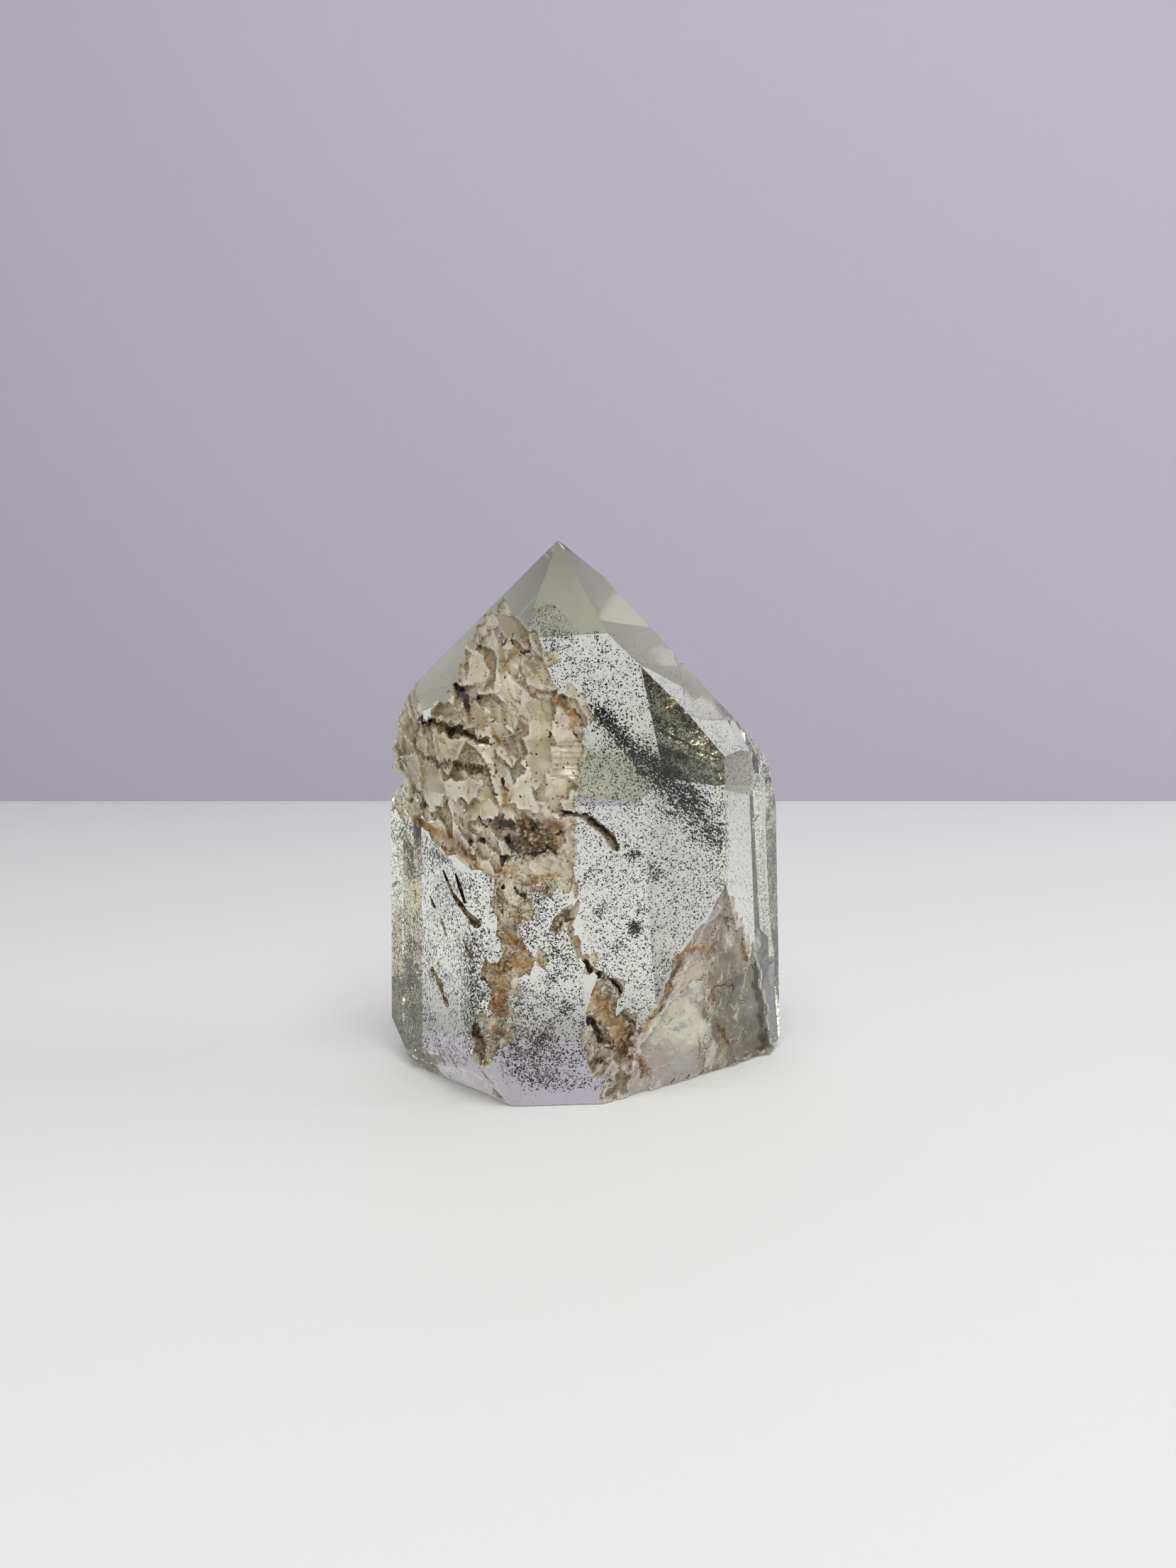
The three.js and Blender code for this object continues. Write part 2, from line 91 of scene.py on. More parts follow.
# Natural surfaces of the front. Edge is the depth at the outline, slope is how fast it deepens inwards,
# and depth is the most it reaches. Plates are its broken pieces: their size, their height, their length
# for one unit of width, and the direction of that length. Fine is the height of the smaller plates on
# them. Frost is 0 on a glassy surface and 1 on a frosted one. Ragged is how far its outline, of x and z,
# follows the edges of small plates, from 0 to 1.
BREAKS = {
    "upperLeft": dict(
        edge=0.2, slope=0.45, depth=1.3, plates=(3, 1.9, 1.9, 118), fine=0.3, frost=1, ragged=0.9,
        outline=[(-12.7, 68.1), (-14.3, 66.3), (-15.4, 64), (-16.8, 62.5), (-18.1, 58.5), (-19.8, 54.7),
            (-21.7, 52.9), (-24, 52.2), (-25.7, 54), (-27, 57.5), (-33, 57.5), (-33, 38.2), (-24.1, 38),
            (-20.5, 36.6), (-15, 33), (-12.2, 31.9), (-8.5, 32.2), (-3.8, 33.4), (-2.6, 35.7),
            (-2.9, 39.5), (-1.7, 43.3), (-0.2, 48), (0.1, 49.8), (-0.2, 51.7), (0.4, 53.5), (-1.4, 55.9),
            (-4.2, 56.8), (-5.1, 57.7), (-4.5, 59.5), (-6, 62.3), (-7, 63.4), (-8, 65.1), (-9.8, 64.2),
            (-10.6, 66.6)]),
    "leftEdge": dict(
        edge=0, slope=5, depth=14, plates=(1.6, 0.8, 1.6, 70), fine=0.3, frost=0.5, ragged=0.6,
        outline=[(-26.7, 55.8), (-28.2, 55.2), (-29.1, 52.6), (-27.2, 50.3), (-28.9, 46.6), (-28, 44.1),
            (-26, 41.8), (-26.4, 40.9), (-28.6, 39.5), (-29.3, 38.1), (-33, 38.1), (-33, 60)]),
    "middle": dict(
        edge=0.15, slope=0.3, depth=0.5, plates=(1.6, 0.45, 1.8, 100), fine=0.2, frost=0.9, ragged=1,
        outline=[(-12.4, 34), (-3, 35), (-2.4, 30.5), (-5.5, 28.8), (-7.8, 29.6), (-8.2, 27.2),
            (-9.2, 24.6), (-8.4, 21.8), (-5.6, 20.8), (-6, 18.6), (-9, 17.2), (-9.8, 14.8), (-10.4, 12),
            (-12.6, 11.6), (-13.4, 14.4), (-13.2, 16.4), (-14.9, 17), (-14.5, 19.6), (-12.7, 20.7),
            (-11.4, 22.4), (-12.6, 24.2), (-11.7, 25.8), (-13.1, 27.4), (-11.9, 29), (-13.2, 31.2)]),
    "lowerMiddle": dict(
        edge=0.15, slope=0.5, depth=0.8, plates=(1.4, 0.6, 1.6, 60), fine=0.2, frost=0.9, ragged=1,
        outline=[(-0.6, 19.8), (2.6, 18.2), (4.6, 15.6), (3.6, 13.6), (5.4, 12.4), (7.4, 10.2),
            (6.2, 7.4), (6.8, 4.6), (8.4, 1.4), (6.4, 1.2), (5.9, 3.8), (2.2, 4.3), (1.2, 2.6),
            (-0.4, 4.4), (-0.6, 8.4), (-0.8, 12), (1.2, 15)]),
    "flap": dict(
        edge=0.15, slope=0.4, depth=0.5, plates=(1.2, 0.4, 1.6, 50), fine=0.2, frost=0.9, ragged=0.5,
        outline=[(-1.9, 27.6), (-3.1, 27), (-4.6, 25.4), (-5.2, 23.8), (-3.8, 24.1), (-2.4, 25)]),
    "leftLump": dict(
        edge=0.1, slope=0.3, depth=0.3, plates=(1.2, 0.4, 1.4, 60), fine=0.2, frost=0.8, ragged=1,
        outline=[(-15.6, 12.6), (-13.4, 12.2), (-11.8, 13.2), (-10.2, 10.4), (-12.2, 7.2), (-13.6, 5.4),
            (-15.4, 6.4)]),
    "footRight": dict(
        edge=0.1, slope=0.16, depth=0.5, plates=(3.4, 0.5, 3, 62), fine=0.16, frost=0.6, ragged=0.7,
        outline=[(18.6, 30), (16.2, 25.1), (13.6, 22.6), (11.4, 19.4), (9.6, 14.5), (7.1, 10.4),
            (5.2, 5.5), (4.2, -2), (29, -2), (26.8, 4), (24, 12.4), (22, 22)]),
    "footLeft": dict(
        edge=0.05, slope=0.1, depth=0.25, plates=(2.6, 0.25, 3, 128), fine=0.05, frost=0.1, ragged=0.3,
        outline=[(-26, 3.4), (-15.9, 7), (-14.4, 6), (-12.4, 3.8), (-10.6, -2), (-26, -2)]),
    "footChip": dict(
        edge=0.3, slope=0.3, depth=0.8, plates=(1.1, 1.1, 1.3, 30), fine=0.1, frost=0.9, ragged=0.6,
        outline=[(2.2, 4.3), (5.9, 3.8), (6.4, -2), (2.6, -2)]),
    "rightStep": dict(
        edge=0.45, slope=0, depth=0.45, plates=(3, 0, 1, 0), fine=0, frost=0, ragged=0,
        outline=[(12.2, 61.5), (12.4, 60.1), (13.1, 57.4), (12.9, 54.6), (12.6, 53.1), (15.5, 52),
            (19.2, 51.6), (25, 51), (25, 62), (14.5, 64)]),
}

# How far inside the outline plates reach their full height and wear its full depth, the least depth inside
# it, and the slope outside it.
PLATES_WITHIN = 1.2
WEAR_WITHIN = 3
LEAST_BREAK = 0.02
BORDER_SLOPE = 3

# How steeply plates tilt across their length, and the shares of large and small ones in the tone.
PLATE_TILT = 1.6
LARGE_TONE = 0.4
SMALL_TONE = 0.6

# Slits, pits and grooves of the front, as their depth, how far they follow the edges of small plates, and a
# run of x, z and half width.
CUTS = {
    "cavity": (3.4, 0.4, [(-23.5, 51.6, 0.3), (-20.5, 50.8, 0.9), (-16, 49.9, 1.2), (-13, 48.7, 0.3)]),
    "blackPit": (2, 0.2, [(-18.6, 56.2, 0.45), (-17.2, 54.6, 0.7), (-16.3, 53.4, 0.3)]),
    "upperPit": (1.2, 0.3, [(-14.8, 55.8, 0.9)]),
    "amberPit": (1.4, 0.3, [(-10.9, 33.7, 0.9)]),
    "crack": (1.6, 0.2, [(-3.2, 39.7, 0.3), (-0.5, 39.4, 0.7), (2.6, 36.8, 0.7), (3.8, 34.8, 0.35)]),
    "seam": (0.5, 0.4, [
        (-3, 39.5, 0.6), (-2.3, 38, 0.4), (-2.7, 36.6, 0.7), (-2, 35, 0.8), (-2.7, 33.2, 0.6),
        (-2, 31, 0.3), (-1.5, 28, 0.25), (-2.3, 26, 0.5), (-2.6, 24.4, 0.3), (-1.6, 22.3, 0.4),
        (-1.1, 20.8, 0.25), (-0.1, 19.4, 0.45),
    ]),
    "upperSlit": (1.6, 0.3, [(-0.6, 19.6, 0.3), (1.4, 17.6, 0.5)]),
    "lowerSlit": (1.6, 0.3, [(2.6, 17.7, 0.35), (4.2, 15.3, 0.45)]),
    "lowerPit": (1.7, 0.4, [(0.4, 11.6, 1), (2.3, 8.1, 1.2)]),
    "leftRidge": (1, 0.4, [(-24.8, 37.4, 0.5), (-20.5, 35.8, 1), (-15, 33, 0.8)]),
    "leftNotch": (5, 0.3, [(-31, 27.3, 1.3), (-28.4, 27, 0.5)]),
    "footCavity": (1.6, 0.4, [(-15.2, 10.8, 0.5), (-14.6, 8.2, 1.2), (-14.3, 6, 0.8)]),
    "footCrack": (0.7, 0.3, [(-14.6, 4.5, 0.3), (-12.6, 1, 0.4), (-10.4, -1, 0.4)]),
    "shoulderNotch": (5, 0.3, [(13, 62.6, 0.4), (13.4, 60.9, 0.7), (13.3, 59.9, 0.3)]),
    "leftSlit": (0.9, 0, [(-19.9, 31.2, 0.15), (-19.3, 30, 0.3), (-18.5, 28.6, 0.3)]),
    "leftSlitRight": (0.9, 0, [(-17.9, 31.3, 0.15), (-17.3, 29.8, 0.35), (-16.5, 27.9, 0.25)]),
    "leftSlitLow": (0.7, 0, [(-22.2, 26.9, 0.15), (-21.6, 25.7, 0.3)]),
    "leftSlitThin": (0.5, 0, [(-20.4, 24.3, 0.15), (-19.6, 22.4, 0.25)]),
    "rod": (0.8, 0, [(-18.4, 28.4, 0.35), (-17, 27.1, 0.5), (-14.8, 25.1, 0.6)]),
    "rodBelow": (0.5, 0.1, [(-16.7, 22.6, 0.15), (-15.6, 20.6, 0.3)]),
    "leftChip": (0.8, 0.2, [(-21.9, 16.8, 0.3), (-20.9, 15, 0.7), (-19.6, 12.4, 0.3)]),
}

# Direction in degrees of the small plates that these follow, and the tone and frost of their own surface.
CUT_DIRECTION = 60
CUT_TONE = 0.6
CUT_FROST = 0.8

# Flat shards inside the natural surfaces: depth at the outline's first point, tilt in x and z, tone and
# outline. Tone runs from 0, glassy and dark, to 1, pale cream. The inner face is a crystal face laid bare.
SHARDS = {
    "innerFace": (1.1, (-0.12, 0.02), 0.85, [
        (-3.3, 56.3), (-0.7, 52.6), (-0.4, 49.4), (-1.3, 44.7), (-5.7, 39.8), (-6.6, 48)]),
    "besideFace": (0.9, (0.22, 0.03), 0.6, [
        (-7.9, 54.5), (-4.2, 55.9), (-4.9, 49.8), (-5.6, 44.3), (-7, 42.4), (-8.4, 48)]),
    "top": (0.5, (0.12, 0.1), 0.45, [
        (-13.1, 66), (-10.6, 66.8), (-8, 64.6), (-6.9, 62.7), (-9.3, 62.3), (-12.1, 63.4)]),
    "upperRight": (0.6, (-0.1, -0.15), 0.4, [
        (-8.8, 60), (-6.5, 60.5), (-5.1, 59.1), (-5.6, 56.8), (-8.4, 55.9)]),
    "pale": (0.7, (0.15, -0.05), 0.75, [
        (-16.7, 60), (-15.8, 61.8), (-13.9, 60.5), (-13.2, 57.2), (-14.7, 55.8), (-16.9, 56.7)]),
    "upperLeft": (0.6, (-0.1, -0.25), 0.55, [
        (-19.5, 54.7), (-17.4, 53.5), (-16.8, 51.9), (-19.6, 51.9), (-21.9, 52.7)]),
    "middle": (1, (0.3, 0.1), 0.5, [
        (-16.4, 54.4), (-13, 53.6), (-13.7, 50.8), (-15, 51)]),
    "slab": (0.8, (-0.2, 0.15), 0.9, [
        (-12.1, 50.3), (-9.3, 46.9), (-10.1, 45.6), (-12.1, 48.2)]),
    "tongue": (0.5, (0.05, 0.3), 0.25, [
        (-19.2, 44), (-15.6, 44.5), (-13.1, 43.6), (-15.8, 41.3), (-19, 41)]),
    "glassy": (1, (-0.1, 0.05), 0.05, [
        (-24, 44.9), (-20.1, 46.1), (-19.5, 39.9), (-22.9, 38.8)]),
    "lowerLeft": (0.9, (-0.15, -0.1), 0.8, [
        (-10.1, 43.8), (-7.7, 45.7), (-6.6, 39.8), (-9.6, 40.1)]),
    "lowerRight": (0.7, (0.2, -0.12), 0.85, [
        (-5.8, 44.3), (-2.9, 44.7), (-1.5, 43.5), (-3.8, 40), (-5.7, 39.6)]),
    "beige": (0.9, (0.1, 0.2), 0.6, [
        (-16.4, 40.5), (-12.1, 41.5), (-12.2, 38.9), (-15.9, 38.7)]),
    "ribbon": (0.6, (-0.15, 0.05), 0.8, [
        (-12.2, 30.4), (-10.4, 31.3), (-8.8, 29.2), (-9.6, 27.6), (-11.6, 28)]),
    "ribbonLow": (0.5, (0.12, -0.08), 0.6, [
        (-11.5, 26.6), (-10.2, 27.2), (-9.4, 24.8), (-10.4, 22.9), (-11.4, 24)]),
    "footChip": (0.4, (0.1, 0.14), 1, [
        (1.4, 0.4), (2.6, 1.9), (4.9, 4.1), (6, 3.2), (5.6, 1.5), (3.6, 0.4)]),
    "footInner": (0.3, (0.02, -0.02), 0.05, [
        (7.1, 8.4), (15.1, 15.9), (16.8, 13.8), (17.1, 6.7), (15.7, 2.4), (8.3, 1.9)]),
    "footOuter": (0.6, (-0.08, 0), 0.3, [
        (16.9, 21.5), (21.2, 23.1), (23.8, 11.9), (21.8, 4.1), (17.8, 5.3)]),
    "footEdge": (0.4, (0.1, 0), 0.25, [
        (23.7, 20.4), (28.2, 0.5), (23.2, 1.2), (21.8, 12.4)]),
}

# Growth lines across the lower inner face: the outline, spacing, height of the steps, and tone.
GROWTH_OUTLINE = [(-5, 49), (-1, 49.4), (-0.5, 47), (-1.4, 44.5), (-4.7, 44.2)]
GROWTH_SPACING = 0.76
GROWTH_HEIGHT = 0.17
GROWTH_TONE = 1

# Size and length of the fine plates, their turn from the large ones in degrees, and size and length of the
# plates that ragged outlines follow.
FINE_SIZE = 1
FINE_LENGTH = 2
FINE_TURN = 7
RAGGED_SIZE = 1.2
RAGGED_LENGTH = 2

# The shards' outlines follow small plates of a direction, by a share. Their faces curve by a height over a
# size, carry fine plates of a height, and keep a least depth.
SHARD_RAGGED = 0.5
SHARD_DIRECTION = 118
SHARD_CURVE = 0.7
SHARD_CURVE_SIZE = 2.6
SHARD_SEED = 31
SHARD_FINE = 0.09
LEAST_SHARD = 0.1

# Width over which creases and ridges are found, and the depth that makes a full one. Hollows are the same
# on a larger scale; the material darkens them as painted shade.
CREASE_REACH = 0.5
CREASE_DEPTH = 0.2
HOLLOW_REACH = 1.7
HOLLOW_DEPTH = 0.6

# Angle in degrees above which an edge of the stone is sharp.
SHARP_ANGLE = 14

# A polished face lies this near a facet's plane, and faces its way by this cosine.
FLAT_WITHIN = 0.003
FLAT_COSINE = 0.9995

# Iron stains of the front, as runs of x, z and half width. Where brown and dark runs follow the cavity,
# pits, slits and cracks, they are partly painted shade in these recesses.
STAINS = {
    "ochre": [
        [(-2.9, 34.8, 0.6), (-2.1, 32.6, 0.4), (-2.1, 29.6, 0.4)],
        [(7.4, 9.8, 0.9), (9.6, 13.4, 1), (11.4, 17, 1.1), (12.6, 20.4, 1.3)],
        [(-2.3, 24.2, 0.5), (-1.2, 21.2, 0.4)], [(-12.6, 10.6, 0.9), (-10.8, 9.6, 0.8)],
        [(-8.4, 30.6, 0.9), (-4.4, 31.6, 0.9)],
        [(-24.8, 36.9, 1.1), (-18.1, 35.9, 1.5), (-15.2, 33.5, 1.2)],
        [(-14.2, 61.2, 0.5), (-13.2, 59.1, 0.4)], [(-10.7, 58.4, 0.8)], [(-14.6, 56.3, 1.1)],
        [(-7.9, 54.9, 0.3), (-5.6, 56.1, 0.4), (-3.8, 56.5, 0.4)],
        [(-4.2, 54.9, 0.9), (-1.9, 51.9, 1.5), (-1.6, 50.4, 1.2)],
        [(-12.5, 50.1, 0.8), (-12.1, 49.9, 0.4), (-9.8, 46.3, 0.2)],
        [(-11.7, 43.8, 0.6), (-11.1, 41, 1)], [(-22.9, 51, 0.7), (-21, 51, 0.9)],
        [(-11.5, 38.2, 1.2), (-4, 38, 1.4), (-4.6, 34.5, 1.2)], [(-10.5, 32.6, 1.2), (-12, 32, 0.8)],
        [(-10.4, 26.4, 0.9), (-9.2, 25.6, 0.9)], [(-11.2, 22.5, 1.4), (-8.5, 22, 1.4)],
        [(-12.8, 19.2, 2.3), (-9, 19.4, 2.3), (-6.8, 19.8, 1.5)], [(-12.6, 17, 2.3), (-11.6, 12.6, 1.6)],
        [(-9.1, 13.3, 0.6), (-7.5, 11.4, 0.6)],
        [(-0.6, 17, 1.2), (1.5, 13.8, 2.4), (4, 11, 2.8), (4.8, 7, 2.4)], [(6.8, 6, 1.2), (8, 2.6, 1)],
        [(12.8, 21.1, 1.2), (16.6, 20, 1.4)], [(17.5, 17, 0.5), (17.8, 12, 0.5)],
        [(18.5, 8.8, 0.9), (19.8, 4.5, 1.3)], [(19.4, 24.4, 0.6)], [(22.2, 19.6, 0.8), (23, 17.4, 1)],
    ],
    "brown": [
        [(-12, 38.6, 1.2), (-8.5, 37.4, 2.4), (-6, 36.4, 2.8), (-5, 35, 2.2), (-9.5, 34.8, 1.8)],
        [(-18.6, 28.6, 1), (-14.6, 24.9, 1.2)], [(-16.7, 22.6, 0.2), (-15.6, 20.6, 0.25)],
        [(-20.9, 15, 0.5), (-20, 13, 0.5)], [(-14.6, 4.5, 0.3), (-12.6, 1, 0.4), (-10.4, -0.5, 0.4)],
        [(-11.1, 33.7, 0.9)], [(-21.6, 33.9, 0.3), (-17, 35.2, 0.5), (-15, 33.6, 0.5)],
        # This brown run along the cavity is painted shade under its ledge, in brown.
        [(-23.5, 51.6, 0.5), (-20.5, 50.8, 0.9), (-16, 49.9, 1.2), (-13, 48.7, 0.4)],
        [(-23.3, 52, 0.3), (-24.5, 48, 0.7), (-22.8, 46, 0.6)], [(-26, 42.8, 0.4), (-22.9, 39.3, 0.6)],
        [(-23.3, 46.2, 1), (-16, 45.6, 1.1), (-13, 45.2, 0.7)], [(-14.8, 54.5, 0.7)],
        [(-12.5, 54.8, 0.25), (-10.7, 53.1, 0.25)],
        [(-4.2, 55.9, 0.35), (-2.6, 54, 0.3), (-0.6, 51.2, 0.45)],
        [(-11.9, 48, 0.3), (-11.9, 44.3, 0.35), (-10.6, 41.6, 0.3)],
        [(-12.2, 30.8, 0.3), (-12, 28.4, 0.5), (-11.6, 25.6, 0.3)],
        [(-3.2, 39.7, 0.5), (-0.5, 39.4, 1), (2.6, 36.8, 1), (3.8, 34.8, 0.5)],
        [(-4.6, 24.6, 1), (-2.9, 26.2, 1.2)], [(-0.6, 19.6, 0.4), (1.4, 17.6, 0.7)],
        [(2.6, 17.7, 0.5), (4.2, 15.3, 0.6)], [(-0.1, 11.8, 1.3), (2.3, 8.2, 1.6), (4.4, 7, 1.2)],
        [(0.9, 5.6, 0.8), (2.2, 5.4, 0.6)], [(5.2, 9.4, 1.3), (5.4, 6.4, 1.2)],
        [(6.9, 4.6, 0.7), (7.4, 2.6, 0.5)], [(-12.6, 20.4, 1.1), (-11, 18.4, 0.8)],
        [(3.3, 13.5, 1), (5.6, 11.2, 0.8), (6.7, 9.9, 0.5)], [(-12.6, 21.6, 0.9), (-12.8, 19.6, 0.6)],
        [(-8.2, 20.6, 0.7)], [(8.1, 11.4, 0.35), (10, 12.7, 0.45), (11, 15.2, 0.45), (11.9, 18.7, 0.35)],
        [(18.6, 8, 0.5), (20.4, 4, 0.6)], [(19.8, 24.2, 0.3)], [(-15, 10, 0.7), (-14.4, 6.5, 0.6)],
        [(-8.8, 61.2, 0.8)],
    ],
    # Black runs: dark spots, and painted shade in the cavity, pits, slits and cracks that most of them
    # follow.
    "dark": [
        [(-18.8, 56.5, 0.7), (-17.2, 54.7, 1.2), (-16.6, 53.6, 0.6)], [(-15.5, 62.2, 0.4)],
        [(-11.9, 62.5, 0.25), (-11.5, 61.6, 0.3), (-11.1, 62.6, 0.25)],
        [(-9.8, 63.3, 0.25), (-10, 61.8, 0.3)], [(-9.2, 61.2, 0.4), (-8.4, 61.3, 0.35)],
        [(-9.4, 60.3, 0.3)], [(-14.8, 54.5, 0.5)], [(-10.9, 52, 0.3)], [(-12.8, 51.9, 0.3)],
        [(-1.7, 50, 0.4)], [(-4.5, 51.5, 0.25)], [(-5.1, 50, 0.2)], [(-8, 46.6, 0.2)],
        [(-25, 40.1, 0.4)], [(-11.6, 44.3, 0.5)], [(-12.6, 42.4, 0.3)],
        [(-14.8, 39.2, 0.25), (-13.6, 37.9, 0.3)], [(-12.6, 39, 0.35)], [(-21.5, 33.7, 0.5)],
        [(-15.9, 35.6, 0.4)], [(-14.5, 35.9, 0.6)], [(-23.5, 51.5, 0.3), (-22.2, 50.9, 0.7)],
        [(-19.9, 50.9, 0.5), (-17, 50.1, 0.8), (-15.5, 49.7, 0.4)], [(-11, 38.2, 0.6), (-10, 37.8, 0.5)],
        [(-10.8, 36.3, 0.5), (-9.8, 34.9, 0.7)], [(-7.3, 38.4, 0.3), (-7.1, 37.2, 0.6)],
        [(-8, 34.4, 0.5), (-6.1, 34.3, 0.5), (-5.2, 35, 0.4)], [(-11.2, 33.6, 0.6)], [(-4.3, 36.7, 0.4)],
        [(-9.9, 29.8, 0.2), (-8, 28.2, 0.3)], [(-11.6, 30.3, 0.4)], [(-11.8, 26.6, 0.4)],
        [(-3, 39.7, 0.3), (-0.7, 39.6, 0.4), (2.2, 37.4, 0.4), (3.2, 35.8, 0.25)],
        [(-0.4, 19.3, 0.3), (1.2, 17.8, 0.45)], [(2.8, 17.5, 0.35), (4, 15.5, 0.4)],
        [(0, 11.6, 0.7), (1.9, 8.4, 0.6)], [(6.3, 10.3, 0.3)],
        [(17.3, 14.2, 0.1), (18.6, 13.9, 0.14), (20, 14.3, 0.14)],
        [(20, 14.3, 0.1), (20.9, 11.4, 0.16), (20.1, 10, 0.12)], [(-12.3, 29.4, 0.3)],
        [(-19.9, 31.2, 0.5), (-18.9, 29.4, 0.5)], [(-17.9, 31.3, 0.8), (-16.5, 27.9, 0.8)],
        [(-16.6, 29, 0.5)], [(-22.2, 26.9, 0.2), (-21.6, 25.7, 0.35)], [(-20.1, 23.6, 0.3)],
    ],
}

# Noises that make the stains' edges ragged: size, how far they move them, and seed.
STAIN_WAVES = ((1.7, 1.1, 11), (0.55, 0.5, 13))

# Flakes: their sides, half thickness for one unit of half width, usual size for one of the smallest, least
# reach of a corner, its turn in radians, how far the long ones stray from their layer's direction, and how
# far inside the stone they stay.
FLAKE_SIDES = 5
FLAKE_THICKNESS = 0.35
FLAKE_USUAL = 1.3
FLAKE_LEAST = 0.55
FLAKE_TURN = 0.35
FLAKE_STRAY = 0.35
FLAKE_CLEARANCE = 0.45

# Places under a facet: how many are tried at a time, how far they reach sideways and up, the size, share
# and seed of the noises that gather them, the level above which they do, and the least chance to keep one.
FACET_TRIES = 4000
FACET_REACHES = (40, 90)
CLUMP_WAVES = ((3.1, 0.6, 7), (0.9, 0.4, 8))
CLUMP_LEVEL = 0.62
LEAST_CHANCE = 0.02

# Places tried at a time along a run: few, so that all runs get their share. They spread by a share of the
# half width.
RUN_TRIES = 20
RUN_SPREAD = 0.5

